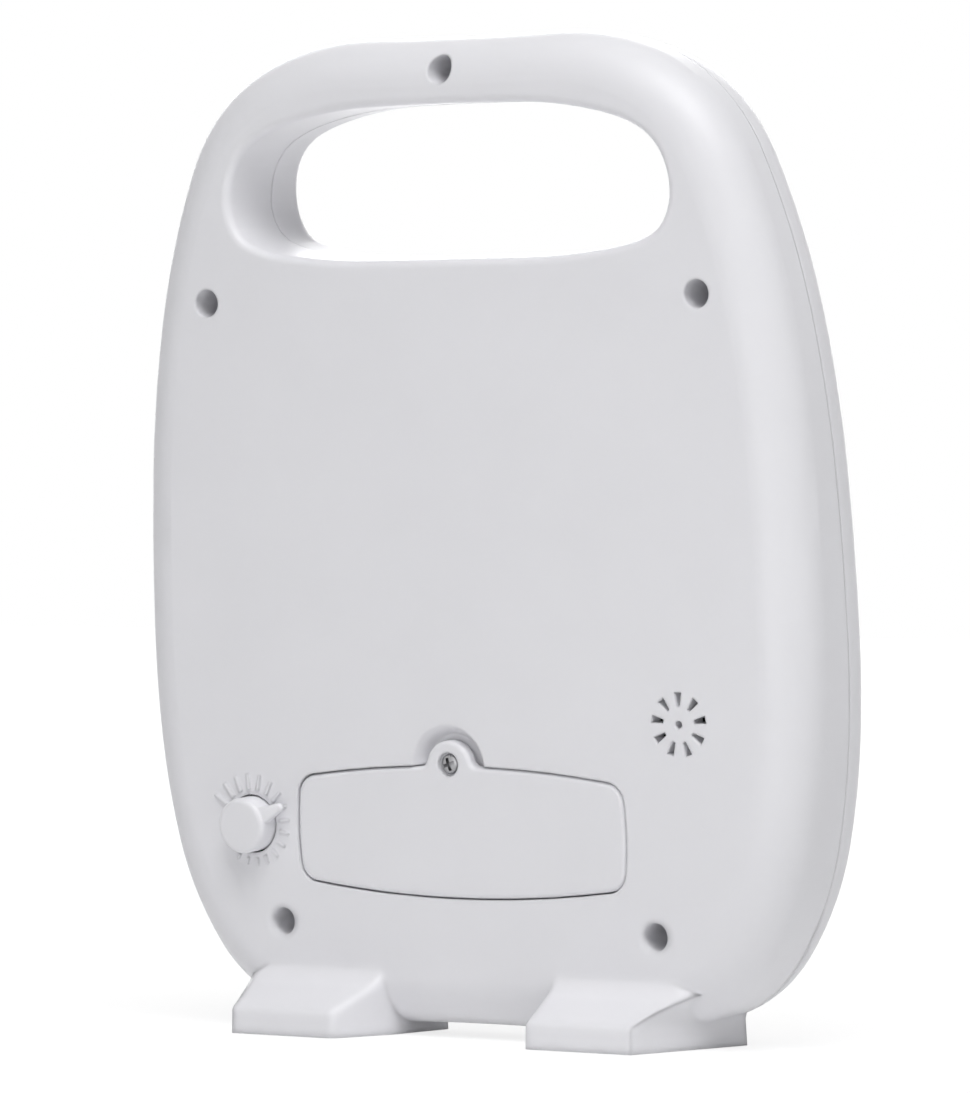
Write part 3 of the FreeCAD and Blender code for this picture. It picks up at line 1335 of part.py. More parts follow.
def make_alarm_board():
    x, z = BOARD_WIDTH / 2, BOARD_BREADTH / 2
    board = block(
        (-x, x), (board_depth, board_depth + BOARD_THICKNESS), (BOARD_HEIGHT - z, BOARD_HEIGHT + z)
    )
    board = round_edges(board, 1.5, lambda e, m: along_y(e))
    radius = SMALL_SCREW_RADIUS + 0.15
    return board.cut([bar(radius, board_depth - 1, board_depth + 3, hx, hz) for hx, hz in board_holes()])


def make_board_parts():
    """The chip, two capacitors and the plug for the leads, on the alarm board's rear face."""
    y = board_depth + BOARD_THICKNESS
    chip = block((-6.0, 6.0), (y, y + 1.6), (BOARD_HEIGHT - 2.5, BOARD_HEIGHT + 2.5))
    cans = [cylinder(2.5, y, y + 4.5, x, BOARD_HEIGHT + 4.0) for x in (14.0, 20.5)]
    plug = block((-24.0, -15.0), (y, y + 4.0), (BOARD_HEIGHT - 9.0, BOARD_HEIGHT - 5.0))
    return Part.makeCompound([chip, plug] + cans)


def knob_front():
    """How far the setting knob reaches in front of the seam's ground line, once it leans."""
    y = front(-KNOB_LIFT) - KNOB_HEIGHT
    z = DIAL_HEIGHT - KNOB_RADIUS + KNOB_ROLL
    return y * math.cos(lean) + z * math.sin(lean)


def stand(shape):
    """Sets a piece from the case frame on the ground, with the whole timer centred in y."""
    placed = shape.copy()
    placed.rotate(Vector(0, 0, 0), Vector(1, 0, 0), -CASE_LEAN)
    placed.translate(Vector(0, -(FOOT_REACH + knob_front()) / 2, 0))
    return placed


def main():
    pieces = {
        "front_shell": make_front_shell(),
        "rear_shell": make_rear_shell(),
        "housing_screws": make_housing_screws(),
        "lens": make_lens(),
        "dial_plate": make_dial(),
        "dial_screws": make_dial_screws(),
        "time_disk": make_time_disk(),
        "setting_knob": make_setting_knob(),
        "centre_shaft": make_centre_shaft(),
        "clutch_spring": make_clutch_spring(),
        "chassis_plate": make_chassis(),
        "movement_base": make_movement_base(),
        "movement_cover": make_movement_cover(),
        "movement_screws": make_movement_screws(),
        "movement_board": make_movement_board(),
        "centre_wheel": make_centre_wheel(),
        "third_wheel": make_third_wheel(),
        "second_wheel": make_second_wheel(),
        "rotor": make_rotor(),
        "stator": make_stator(),
        "coil": make_coil(),
        "battery_door": make_battery_door(),
        "door_screw": make_door_screw(),
        "battery_cell": make_battery_cell(),
        "positive_contact": make_positive_contact(),
        "negative_contact": make_negative_contact(),
        "speaker_frame": make_speaker(),
        "speaker_cone": make_speaker_cone(),
        "volume_knob": make_volume_knob(),
        "volume_pot": make_volume_pot(),
        "volume_board": make_volume_board(),
        "alarm_board": make_alarm_board(),
        "board_parts": make_board_parts(),
        "board_screws": make_board_screws(),
    }
    os.makedirs("parts", exist_ok=True)
    for name, shape in pieces.items():
        placed = stand(shape)
        placed.exportStep(f"parts/{name}.step")
        solids = placed.Solids
        print(name, len(solids), placed.isValid(), round(sum(s.Volume for s in solids), 1))


if __name__ == "__main__":
    main()
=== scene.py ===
import math

import bmesh
import bpy
from bpy.props import FloatProperty, FloatVectorProperty, PointerProperty
from bpy.types import Operator, Panel, PropertyGroup
from mathutils import Matrix, Vector


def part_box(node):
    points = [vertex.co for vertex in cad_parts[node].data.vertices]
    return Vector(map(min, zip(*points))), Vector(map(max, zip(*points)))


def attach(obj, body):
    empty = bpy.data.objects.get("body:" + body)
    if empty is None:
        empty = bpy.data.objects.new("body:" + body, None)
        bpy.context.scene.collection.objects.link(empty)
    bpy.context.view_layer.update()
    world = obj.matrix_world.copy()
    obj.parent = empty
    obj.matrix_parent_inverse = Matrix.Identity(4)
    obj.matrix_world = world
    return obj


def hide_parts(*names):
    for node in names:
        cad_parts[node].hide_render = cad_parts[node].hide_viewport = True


bl_info = {
    "name": "Visual timer",
    "version": (1, 0, 0),
    "blender": (4, 5, 0),
    "location": "3D View > Sidebar > Timer",
    "description": "Finishes and stages a free-standing visual timer with a carrying handle",
    "category": "Object",
}

MM = 0.001
CASE_LEAN = math.radians(5.6)
STAND_SHIFT = -6.935 * MM

# between these heights the feet's soft edges give way to the case's crisper ones
FEET_TOP = 20.0 * MM
CASE_START = 27.0 * MM
# a noise texture keeps mostly between these values
NOISE_LOW = 0.3
NOISE_HIGH = 0.7
# one band of a wave texture at a scale of 1, in metres
WAVE_WIDTH = 0.314
# smooth shading stops at an edge sharper than this
SHARP_ANGLE = math.radians(32.0)
# how round the edges look, at the feet and above them
SHELL_EDGES = (2.5 * MM, 0.75 * MM)
SETTING_KNOB_EDGES = (0.6 * MM, 0.6 * MM)
VOLUME_KNOB_EDGES = (0.5 * MM, 0.5 * MM)
# how many steps a full turn or a rounded edge is made in
KNOB_STEPS = 64
SCREW_STEPS = 24
ROUNDING_STEPS = 5

# the volume knob's shaft, and the flat ring inside the rounded edge of its face, in mm
KNOB_SHAFT_RADIUS = 2.0
KNOB_SHAFT_LENGTH = 4.0
KNOB_SHAFT_CHAMFER = 0.3
KNOB_FACE_RING = 0.5

# the pointer, in mm: where it starts from the knob's axis, how wide it is at its root and at its
# tip, how far its top and bottom lie from the knob's face, and the rounding of its edges
POINTER_START = 1.5
POINTER_ROOT_WIDTH = 4.4
POINTER_TIP_WIDTH = 1.3
POINTER_ROOT_TOP = -0.04
POINTER_TIP_TOP = -1.5
POINTER_BOTTOM = -2.8
POINTER_ROUNDING = 0.5

# the print on the dial, in mm: its thickness, and the length and width of a tick of the track
INK_THICKNESS = 0.04
SHORT_TICK = (0.8, 0.25)
LONG_TICK = (1.2, 0.45)
# how high the font's digits are at a size of 1
DIGIT_HEIGHT = 0.7

# the screws' thread, in mm, and its core as a share of the radius
THREAD_PITCH = 0.7
THREAD_START = 0.6
THREAD_END = 1.0
THREAD_CORE = 0.82
# the point's length in mm, and its end as a share of the radius
POINT_LENGTH = 0.4
POINT_END = 0.3
# the head's outline from its middle outwards, as shares of its radius and its height
HEAD_OUTLINE = ((0.0, 1.0), (0.45, 0.96), (0.8, 0.78), (0.96, 0.5), (1.0, 0.25), (1.0, 0.0))
# the cross recess: its arms as shares of the head's radius, its floor under the head, and its turn
RECESS_LENGTH = 1.5
RECESS_WIDTH = 0.34
RECESS_TAPER = 0.5
RECESS_FLOOR = -0.3
RECESS_TURN = 0.3

# each lamp's size in metres, its power in watts, its place and the point that it faces
MIDDLE = (0.0, 0.0, 0.09)
LAMPS = {
    "key lamp": ((0.8, 0.8), 6.9, (-0.49, 0.49, 1.07), MIDDLE),
    "second lamp": ((0.8, 0.8), 3.8, (-0.24, 0.59, 1.11), MIDDLE),
    "overhead lamp": ((1.2, 1.2), 1.9, (0.0, 0.0, 1.4), MIDDLE),
    "side lamp": ((0.7, 0.9), 0.6, (-0.88, -0.32, 0.43), MIDDLE),
    "low lamp": ((0.2, 0.2), 0.16, (-0.1, 0.3, 0.04), (0.0, 0.0, 0.03)),
    "dial lamp": ((0.8, 0.8), 6.5, (0.64, -0.92, 0.42), MIDDLE),
}

# the floor: how far it lies under the feet, and how far round them it shows the shadow
FLOOR_DROP = 0.1 * MM
FLOOR_HALF_SIZE = 4.0
SHADOW_FULL = 0.12
SHADOW_GONE = 0.36

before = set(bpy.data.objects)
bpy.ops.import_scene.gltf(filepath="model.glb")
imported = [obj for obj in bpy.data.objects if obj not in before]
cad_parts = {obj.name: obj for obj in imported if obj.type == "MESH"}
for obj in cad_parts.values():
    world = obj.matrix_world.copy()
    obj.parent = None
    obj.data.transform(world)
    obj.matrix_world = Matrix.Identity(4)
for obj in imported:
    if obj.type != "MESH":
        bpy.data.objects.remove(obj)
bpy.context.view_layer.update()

# the case is drawn upright, in mm, and then leans back about its feet
stand = Matrix.Translation((0.0, STAND_SHIFT, 0.0)) @ Matrix.Rotation(-CASE_LEAN, 4, "X")
# a piece is drawn with its outer end up: these turn that end to the rear or to the front
TO_REAR = Matrix(((-1, 0, 0, 0), (0, 0, 1, 0), (0, 1, 0, 0), (0, 0, 0, 1)))
TO_FRONT = Matrix(((1, 0, 0, 0), (0, 0, -1, 0), (0, 1, 0, 0), (0, 0, 0, 1)))


def new_material(name):
    """An empty node material: its node tree and the surface shader that feeds its output."""
    material = bpy.data.materials.new(name)
    material.use_nodes = True
    tree = material.node_tree
    tree.nodes.clear()
    output = tree.nodes.new("ShaderNodeOutputMaterial")
    shader = tree.nodes.new("ShaderNodeBsdfPrincipled")
    tree.links.new(shader.outputs["BSDF"], output.inputs["Surface"])
    return material, tree, shader


def noise(tree, scale, detail=2.0):
    """A noise texture on the object's own coordinates, in metres."""
    place = tree.nodes.new("ShaderNodeTexCoord")
    texture = tree.nodes.new("ShaderNodeTexNoise")
    texture.inputs["Scale"].default_value = scale
    texture.inputs["Detail"].default_value = detail
    tree.links.new(place.outputs["Object"], texture.inputs["Vector"])
    return texture


def spread(tree, texture, low, high):
    """The texture's value, stretched to run from low to high."""
    ramp = tree.nodes.new("ShaderNodeMapRange")
    ramp.inputs["From Min"].default_value = NOISE_LOW
    ramp.inputs["From Max"].default_value = NOISE_HIGH
    ramp.inputs["To Min"].default_value = low
    ramp.inputs["To Max"].default_value = high
    tree.links.new(texture.outputs["Fac"], ramp.inputs["Value"])
    return ramp.outputs["Result"]


def soften_edges(tree, low_radius, high_radius):
    """Rounds the light on sharp edges: low_radius at the feet, and high_radius above them."""
    edge = tree.nodes.new("ShaderNodeBevel")
    edge.samples = 8
    place = tree.nodes.new("ShaderNodeTexCoord")
    parts = tree.nodes.new("ShaderNodeSeparateXYZ")
    radius = tree.nodes.new("ShaderNodeMapRange")
    radius.interpolation_type = "SMOOTHSTEP"
    radius.inputs["From Min"].default_value = FEET_TOP
    radius.inputs["From Max"].default_value = CASE_START
    radius.inputs["To Min"].default_value = low_radius
    radius.inputs["To Max"].default_value = high_radius
    tree.links.new(place.outputs["Object"], parts.inputs["Vector"])
    tree.links.new(parts.outputs["Z"], radius.inputs["Value"])
    tree.links.new(radius.outputs["Result"], edge.inputs["Radius"])
    return edge.outputs["Normal"]


def bump(tree, shader, texture, depth, under=None):
    """Lets a texture raise the surface by up to depth, in metres, on top of the normal under it."""
    node = tree.nodes.new("ShaderNodeBump")
    if under:
        tree.links.new(under, node.inputs["Normal"])
    node.inputs["Strength"].default_value = 1.0
    node.inputs["Distance"].default_value = depth
    tree.links.new(texture.outputs["Fac"], node.inputs["Height"])
    tree.links.new(node.outputs["Normal"], shader.inputs["Normal"])


def tint(tree, shader, texture, first, second):
    """Colours the surface between two tones."""
    mix = tree.nodes.new("ShaderNodeMix")
    mix.data_type = "RGBA"
    mix.inputs["A"].default_value = (*first, 1.0)
    mix.inputs["B"].default_value = (*second, 1.0)
    tree.links.new(spread(tree, texture, 0.0, 1.0), mix.inputs["Factor"])
    tree.links.new(mix.outputs["Result"], shader.inputs["Base Color"])


def shade(colour, factor):
    """The colour made lighter or darker."""
    return tuple(min(1.0, channel * factor) for channel in colour)


def moulded_plastic(name, colour, roughness, grain=0.004 * MM, edges=None):
    """Satin moulded plastic with a fine grain, slow changes of tone and gloss, and soft edges."""
    material, tree, shader = new_material(name)
    cloud = noise(tree, scale=28.0, detail=3.0)
    tint(tree, shader, cloud, shade(colour, 0.985), shade(colour, 1.01))
    gloss = spread(tree, cloud, roughness - 0.02, roughness + 0.03)
    tree.links.new(gloss, shader.inputs["Roughness"])
    shader.inputs["IOR"].default_value = 1.48
    shader.inputs["Specular IOR Level"].default_value = 0.4
    under = soften_edges(tree, *edges) if edges else None
    bump(tree, shader, noise(tree, scale=2600.0), grain, under)
    return material


def metal(name, colour, roughness):
    """Metal with fine marks all over it."""
    material, tree, shader = new_material(name)
    marks = noise(tree, scale=900.0, detail=3.0)
    tint(tree, shader, marks, shade(colour, 0.9), shade(colour, 1.06))
    gloss = spread(tree, marks, roughness - 0.06, roughness + 0.08)
    tree.links.new(gloss, shader.inputs["Roughness"])
    shader.inputs["Metallic"].default_value = 1.0
    bump(tree, shader, marks, 0.006 * MM)
    return material


def clear_plastic(name, roughness):
    """Clear sheet: what lies behind it shows, and its polished faces shine more at a slant."""
    material, tree, shader = new_material(name)
    shader.inputs["Base Color"].default_value = (0.4, 0.41, 0.41, 1.0)
    haze = noise(tree, scale=60.0)
    tree.links.new(spread(tree, haze, roughness, roughness + 0.03), shader.inputs["Roughness"])
    clear = tree.nodes.new("ShaderNodeBsdfTransparent")
    clear.inputs["Color"].default_value = (0.985, 0.99, 0.99, 1.0)
    slant = tree.nodes.new("ShaderNodeLayerWeight")
    slant.inputs["Blend"].default_value = 0.2
    strength = tree.nodes.new("ShaderNodeMapRange")
    strength.inputs["To Min"].default_value = 0.025
    strength.inputs["To Max"].default_value = 0.45
    mix = tree.nodes.new("ShaderNodeMixShader")
    tree.links.new(slant.outputs["Facing"], strength.inputs["Value"])
    tree.links.new(strength.outputs["Result"], mix.inputs["Fac"])
    tree.links.new(clear.outputs["BSDF"], mix.inputs[1])
    tree.links.new(shader.outputs["BSDF"], mix.inputs[2])
    tree.links.new(mix.outputs["Shader"], tree.nodes["Material Output"].inputs["Surface"])
    return material


def cell_jacket(name, low, high):
    """A printed jacket round a steel can, with bare steel at both ends, between two values of x."""
    material, tree, shader = new_material(name)
    place = tree.nodes.new("ShaderNodeTexCoord")
    parts = tree.nodes.new("ShaderNodeSeparateXYZ")
    along = tree.nodes.new("ShaderNodeMapRange")
    along.inputs["From Min"].default_value = low
    along.inputs["From Max"].default_value = high
    tree.links.new(place.outputs["Object"], parts.inputs["Vector"])
    tree.links.new(parts.outputs["X"], along.inputs["Value"])
    bands = ((0.0, "steel"), (0.015, "slate"), (0.7, "silver"), (0.72, "blue"), (0.955, "steel"))
    tones = {
        "steel": (0.6, 0.6, 0.6, 1.0),
        "slate": (0.05, 0.055, 0.065, 1.0),
        "silver": (0.55, 0.56, 0.58, 1.0),
        "blue": (0.05, 0.14, 0.34, 1.0),
    }
    for socket, choose in (
        ("Base Color", lambda tone: tones[tone]),
        ("Metallic", lambda tone: (1.0,) * 4 if tone == "steel" else (0.0, 0.0, 0.0, 1.0)),
    ):
        ramp = tree.nodes.new("ShaderNodeValToRGB")
        ramp.color_ramp.interpolation = "CONSTANT"
        while len(ramp.color_ramp.elements) < len(bands):
            ramp.color_ramp.elements.new(1.0)
        for element, (start, tone) in zip(ramp.color_ramp.elements, bands):
            element.position = start
            element.color = choose(tone)
        tree.links.new(along.outputs["Result"], ramp.inputs["Fac"])
        tree.links.new(ramp.outputs["Color"], shader.inputs[socket])
    sheen = noise(tree, scale=400.0)
    tree.links.new(spread(tree, sheen, 0.24, 0.34), shader.inputs["Roughness"])
    return material


def wound_wire(name, colour, gauge):
    """Fine wire wound round a bobbin that lies along x, with painted shade that darkens the grooves
    between its turns.
    """
    material, tree, shader = new_material(name)
    place = tree.nodes.new("ShaderNodeTexCoord")
    turns_and_groove_shade = tree.nodes.new("ShaderNodeTexWave")
    turns_and_groove_shade.inputs["Scale"].default_value = WAVE_WIDTH / gauge
    turns_and_groove_shade.inputs["Distortion"].default_value = 0.4
    tree.links.new(place.outputs["Object"], turns_and_groove_shade.inputs["Vector"])
    # painted shade: the colour is darkest where the bump makes a groove between two turns, and
    # lightest on their crests
    tint(tree, shader, turns_and_groove_shade, shade(colour, 0.6), shade(colour, 1.1))
    shader.inputs["Metallic"].default_value = 1.0
    shader.inputs["Roughness"].default_value = 0.34
    bump(tree, shader, turns_and_groove_shade, gauge / 3)
    return material


def rounded_profile(points):
    """A bmesh of the open line through points (radius, height), in mm, ready to spin."""
    line = bmesh.new()
    corners = [line.verts.new((radius, 0.0, height)) for radius, height in points]
    for start, end in zip(corners, corners[1:]):
        line.edges.new((start, end))
    return line


def spin_round(line, steps):
    """Spins an open line about z into a closed solid."""
    bmesh.ops.spin(
        line,
        geom=line.verts[:] + line.edges[:],
        cent=(0.0, 0.0, 0.0),
        axis=(0.0, 0.0, 1.0),
        angle=math.tau,
        steps=steps,
        use_merge=True,
        use_duplicate=False,
    )
    bmesh.ops.remove_doubles(line, verts=line.verts, dist=0.0005)
    bmesh.ops.recalc_face_normals(line, faces=line.faces)


def quarter_round(radius, size):
    """Points of a rounded outer edge, from a top face at height 0 round to the side."""
    points = []
    for number in range(ROUNDING_STEPS + 1):
        angle = math.pi / 2 * (1 - number / ROUNDING_STEPS)
        across = radius - size + size * math.cos(angle)
        points.append((across, size * math.sin(angle) - size))
    return points


def to_mesh(name, shape):
    """A mesh with the shape of a bmesh, which is freed."""
    mesh = bpy.data.meshes.new(name)
    shape.to_mesh(mesh)
    shape.free()
    return mesh


def combine(body, tool, operation):
    """The mesh body with the mesh tool joined to it or cut out of it."""
    pair = []
    for mesh in (body, tool):
        obj = bpy.data.objects.new(mesh.name, mesh)
        bpy.context.scene.collection.objects.link(obj)
        pair.append(obj)
    modifier = pair[0].modifiers.new("combine", "BOOLEAN")
    modifier.operation = operation
    modifier.solver = "EXACT"
    modifier.object = pair[1]
    depsgraph = bpy.context.evaluated_depsgraph_get()
    result = bpy.data.meshes.new_from_object(pair[0].evaluated_get(depsgraph))
    for obj in pair:
        bpy.data.objects.remove(obj)
    return result


def add_piece(name, shape, material, body, replaced=()):
    """Makes a bmesh that is already in its place a piece of the object."""
    mesh = to_mesh(name, shape)
    mesh.materials.clear()
    mesh.materials.append(material)
    mesh.shade_smooth()
    mesh.set_sharp_from_angle(angle=SHARP_ANGLE)
    obj = bpy.data.objects.new(name, mesh)
    bpy.context.scene.collection.objects.link(obj)
    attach(obj, body)
    if replaced:
        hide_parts(*replaced)


def seat(facing, x, y, z):
    """Takes a shape drawn in mm, outer end up, to its place in the case."""
    return stand @ Matrix.Translation(Vector((x, y, z)) * MM) @ facing @ Matrix.Scale(MM, 4)


def solids(node):
    """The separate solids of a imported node, each as two corners in mm with the case upright."""
    copy = bmesh.new()
    copy.from_mesh(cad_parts[node].data)
    bmesh.ops.remove_doubles(copy, verts=copy.verts, dist=1e-6)
    bmesh.ops.transform(copy, matrix=stand.inverted(), verts=copy.verts)
    left = set(copy.verts)
    found = []
    while left:
        island = [left.pop()]
        for vert in island:
            for edge in vert.link_edges:
                other = edge.other_vert(vert)
                if other in left:
                    left.remove(other)
                    island.append(other)
        axes = list(zip(*(vert.co / MM for vert in island)))
        found.append(([min(axis) for axis in axes], [max(axis) for axis in axes]))
    copy.free()
    return sorted(found)


def finish(material, *nodes):
    """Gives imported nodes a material, in every slot they have."""
    for name in nodes:
        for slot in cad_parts[name].material_slots:
            slot.material = material


class TimerHousing(PropertyGroup):
    """The housing's look"""

    colour: FloatVectorProperty(
        name="Colour",
        description="Colour of the moulded housing",
        subtype="COLOR",
        size=3,
        min=0.0,
        max=1.0,
        default=(0.80, 0.797, 0.825),
    )
    roughness: FloatProperty(
        name="Roughness",
        description="How dull the housing's satin surface is",
        min=0.05,
        max=1.0,
        default=0.38,
    )


class TimerKnob(PropertyGroup):
    """The volume knob's sizes"""

    radius: FloatProperty(
        name="Radius",
        description="Radius of the volume knob",
        unit="LENGTH",
        default=5.0 * MM,
    )
    rounding: FloatProperty(
        name="Rounding",
        description="Radius of the rounded edge of its face",
        unit="LENGTH",
        default=0.9 * MM,
    )
    pointer_reach: FloatProperty(
        name="Pointer reach",
        description="From the knob's centre to the pointer's tip",
        unit="LENGTH",
        default=9.0 * MM,
    )
    pointer_angle: FloatProperty(
        name="Pointer angle",
        description="How far the pointer stands above level, seen from behind",
        subtype="ANGLE",
        default=math.radians(24.0),
    )


class TimerDial(PropertyGroup):
    """The dial's print and the disk's colour"""

    height: FloatProperty(
        name="Dial height",
        description="Height of the dial's centre in the upright case",
        unit="LENGTH",
        default=69.5 * MM,
    )
    print_depth: FloatProperty(
        name="Print plane",
        description="Where the dial's ring lies, front to back, in the upright case",
        unit="LENGTH",
        default=-6.1 * MM,
    )
    track_radius: FloatProperty(
        name="Track radius",
        description="Inner radius of the minute track",
        unit="LENGTH",
        default=45.2 * MM,
    )
    number_radius: FloatProperty(
        name="Number radius",
        description="Radius of the ring of numbers",
        unit="LENGTH",
        default=49.6 * MM,
    )
    number_height: FloatProperty(
        name="Number height",
        description="Height of a printed number",
        unit="LENGTH",
        default=3.4 * MM,
    )
    disk_colour: FloatVectorProperty(
        name="Disk colour",
        description="Colour of the disk that shows the time left",
        subtype="COLOR",
        size=3,
        min=0.0,
        max=1.0,
        default=(0.72, 0.035, 0.045),
    )


class TimerStage(PropertyGroup):
    """Where the camera stands"""

    distance: FloatProperty(
        name="Camera distance",
        description="From the aiming point to the camera",
        unit="LENGTH",
        default=1.206,
    )
    lens: FloatProperty(
        name="Lens",
        description="Focal length on a sensor 36 mm high",
        default=226.0,
    )
    turn: FloatProperty(
        name="Turn",
        description="How far the camera stands round from straight behind the timer",
        subtype="ANGLE",
        default=math.radians(34.944),
    )
    climb: FloatProperty(
        name="Climb",
        description="How far the camera looks down",
        subtype="ANGLE",
        default=math.radians(0.119),
    )
    roll: FloatProperty(
        name="Roll",
        description="How far the camera is tilted sideways",
        subtype="ANGLE",
        default=math.radians(-0.219),
    )
    aim: FloatVectorProperty(
        name="Aiming point",
        description="The point that the camera looks at",
        subtype="TRANSLATION",
        size=3,
        default=(-8.852 * MM, 20.07 * MM, 87.564 * MM),
    )


def aim_light(name, size, power, place, target):
    """Adds a soft rectangular lamp at place, facing target."""
    lamp = bpy.data.lights.new(name, "AREA")
    lamp.shape = "RECTANGLE"
    lamp.size, lamp.size_y = size
    lamp.energy = power
    obj = bpy.data.objects.new(name, lamp)
    bpy.context.scene.collection.objects.link(obj)
    obj.location = place
    obj.rotation_euler = (Vector(target) - Vector(place)).to_track_quat("-Z", "Y").to_euler()
    obj.visible_camera = False


class OBJECT_OT_timer_housing(Operator):
    """Finish the two shells, the battery door and the setting knob in satin plastic"""

    bl_idname = "object.timer_housing"
    bl_label = "Housing"

    def execute(self, context):
        settings = context.scene.timer_housing
        white = moulded_plastic(
            "housing plastic", settings.colour, settings.roughness, edges=SHELL_EDGES
        )
        finish(white, "front_shell", "rear_shell", "battery_door")
        colour = shade(settings.colour, 1.01)
        smooth = moulded_plastic("knob plastic", colour, 0.3, edges=SETTING_KNOB_EDGES)
        finish(smooth, "setting_knob")
        return {"FINISHED"}


class OBJECT_OT_timer_volume_knob(Operator):
    """Make the volume knob, with rounded edges and a pointer fin"""

    bl_idname = "object.timer_volume_knob"
    bl_label = "Volume knob"

    def execute(self, context):
        settings = context.scene.timer_knob
        radius, rounding = settings.radius / MM, settings.rounding / MM
        lowest, highest = solids("volume_knob")[0]
        depth = highest[1] - lowest[1]
        shoulder = KNOB_SHAFT_LENGTH - depth
        points = [(0.0, 0.0), (radius - rounding - KNOB_FACE_RING, 0.0)]
        points += quarter_round(radius, rounding)
        points += [(radius, shoulder), (KNOB_SHAFT_RADIUS, shoulder)]
        points += [(KNOB_SHAFT_RADIUS, KNOB_SHAFT_CHAMFER - depth)]
        points += [(KNOB_SHAFT_RADIUS - KNOB_SHAFT_CHAMFER, -depth), (0.0, -depth)]
        knob = rounded_profile(points)
        spin_round(knob, KNOB_STEPS)
        knob = combine(to_mesh("volume knob", knob), self.make_fin(settings), "UNION")
        shape = bmesh.new()
        shape.from_mesh(knob)
        centre = (highest[0] - radius, highest[1], (lowest[2] + highest[2]) / 2)
        bmesh.ops.transform(shape, matrix=seat(TO_REAR, *centre), verts=shape.verts)
        colour = context.scene.timer_housing.colour
        smooth = moulded_plastic("volume knob plastic", colour, 0.3, edges=VOLUME_KNOB_EDGES)
        add_piece("volume_knob_moulded", shape, smooth, "volume_knob", ["volume_knob"])
        return {"FINISHED"}

    def make_fin(self, settings):
        """The pointer: a tapering fin that slopes from the knob's face down to its tip."""
        reach = settings.pointer_reach / MM
        fin = bmesh.new()
        bmesh.ops.create_cube(fin, size=1.0)
        for vert in fin.verts:
            at_tip = vert.co.x > 0
            vert.co.x = reach if at_tip else POINTER_START
            vert.co.y *= POINTER_TIP_WIDTH if at_tip else POINTER_ROOT_WIDTH
            top = POINTER_TIP_TOP if at_tip else POINTER_ROOT_TOP
            vert.co.z = top if vert.co.z > 0 else POINTER_BOTTOM
        rim = [edge for edge in fin.edges if max(vert.co.x for vert in edge.verts) > POINTER_START]
        bmesh.ops.bevel(
            fin,
            geom=rim,
            offset=POINTER_ROUNDING,
            offset_type="OFFSET",
            affect="EDGES",
            segments=4,
            profile=0.5,
            material=-1,
        )
        turned = Matrix.Rotation(settings.pointer_angle, 4, "Z")
        bmesh.ops.transform(fin, matrix=turned, verts=fin.verts)
        bmesh.ops.recalc_face_normals(fin, faces=fin.faces)
        return to_mesh("pointer", fin)


class OBJECT_OT_timer_dial(Operator):
    """Finish the lens, the dial and the disk, and print the minutes round the dial"""

    bl_idname = "object.timer_dial"
    bl_label = "Dial"

    def execute(self, context):
        settings = context.scene.timer_dial
        finish(clear_plastic("clear lens", 0.03), "lens")
        finish(moulded_plastic("dial card", (0.86, 0.86, 0.85), 0.55), "dial_plate")
        finish(moulded_plastic("disk sheet", settings.disk_colour, 0.45), "time_disk")
        print_shape = bmesh.new()
        for minute in range(60):
            self.add_tick(print_shape, minute, settings)
        for minute in range(0, 60, 5):
            self.add_number(print_shape, minute, settings)
        bmesh.ops.remove_doubles(print_shape, verts=print_shape.verts, dist=0.001)
        middle = (0.0, settings.print_depth / MM, settings.height / MM)
        bmesh.ops.transform(print_shape, matrix=seat(TO_FRONT, *middle), verts=print_shape.verts)
        ink = moulded_plastic("dial ink", (0.03, 0.03, 0.035), 0.5)
        add_piece("dial_print", print_shape, ink, "case")
        return {"FINISHED"}

    def add_tick(self, shape, minute, settings):
        """One mark of the minute track, longer every fifth minute."""
        tick = bmesh.new()
        bmesh.ops.create_cube(tick, size=1.0)
        length, width = SHORT_TICK if minute % 5 else LONG_TICK
        size = Matrix.Diagonal((width, length, INK_THICKNESS, 1.0))
        middle = (0.0, settings.track_radius / MM + length / 2, INK_THICKNESS / 2)
        turn = Matrix.Rotation(math.radians(6 * minute), 4, "Z")
        place = turn @ Matrix.Translation(middle)
        bmesh.ops.transform(tick, matrix=place @ size, verts=tick.verts)
        mesh = to_mesh("tick", tick)
        shape.from_mesh(mesh)
        bpy.data.meshes.remove(mesh)

    def add_number(self, shape, minute, settings):
        """A number, upright, on the ring outside the minute track."""
        text = bpy.data.curves.new("number", "FONT")
        text.body = str(minute)
        text.size = settings.number_height / MM / DIGIT_HEIGHT
        text.extrude = INK_THICKNESS / 2
        text.resolution_u = 4
        obj = bpy.data.objects.new("number", text)
        bpy.context.scene.collection.objects.link(obj)
        depsgraph = bpy.context.evaluated_depsgraph_get()
        mesh = bpy.data.meshes.new_from_object(obj.evaluated_get(depsgraph))
        bpy.data.objects.remove(obj)
        across = [vert.co.x for vert in mesh.vertices]
        up = [vert.co.y for vert in mesh.vertices]
        angle = math.radians(6 * minute)
        ring = settings.number_radius / MM
        x = -ring * math.sin(angle) - (min(across) + max(across)) / 2
        y = ring * math.cos(angle) - (min(up) + max(up)) / 2
        mesh.transform(Matrix.Translation((x, y, INK_THICKNESS / 2)))
        shape.from_mesh(mesh)
        bpy.data.meshes.remove(mesh)


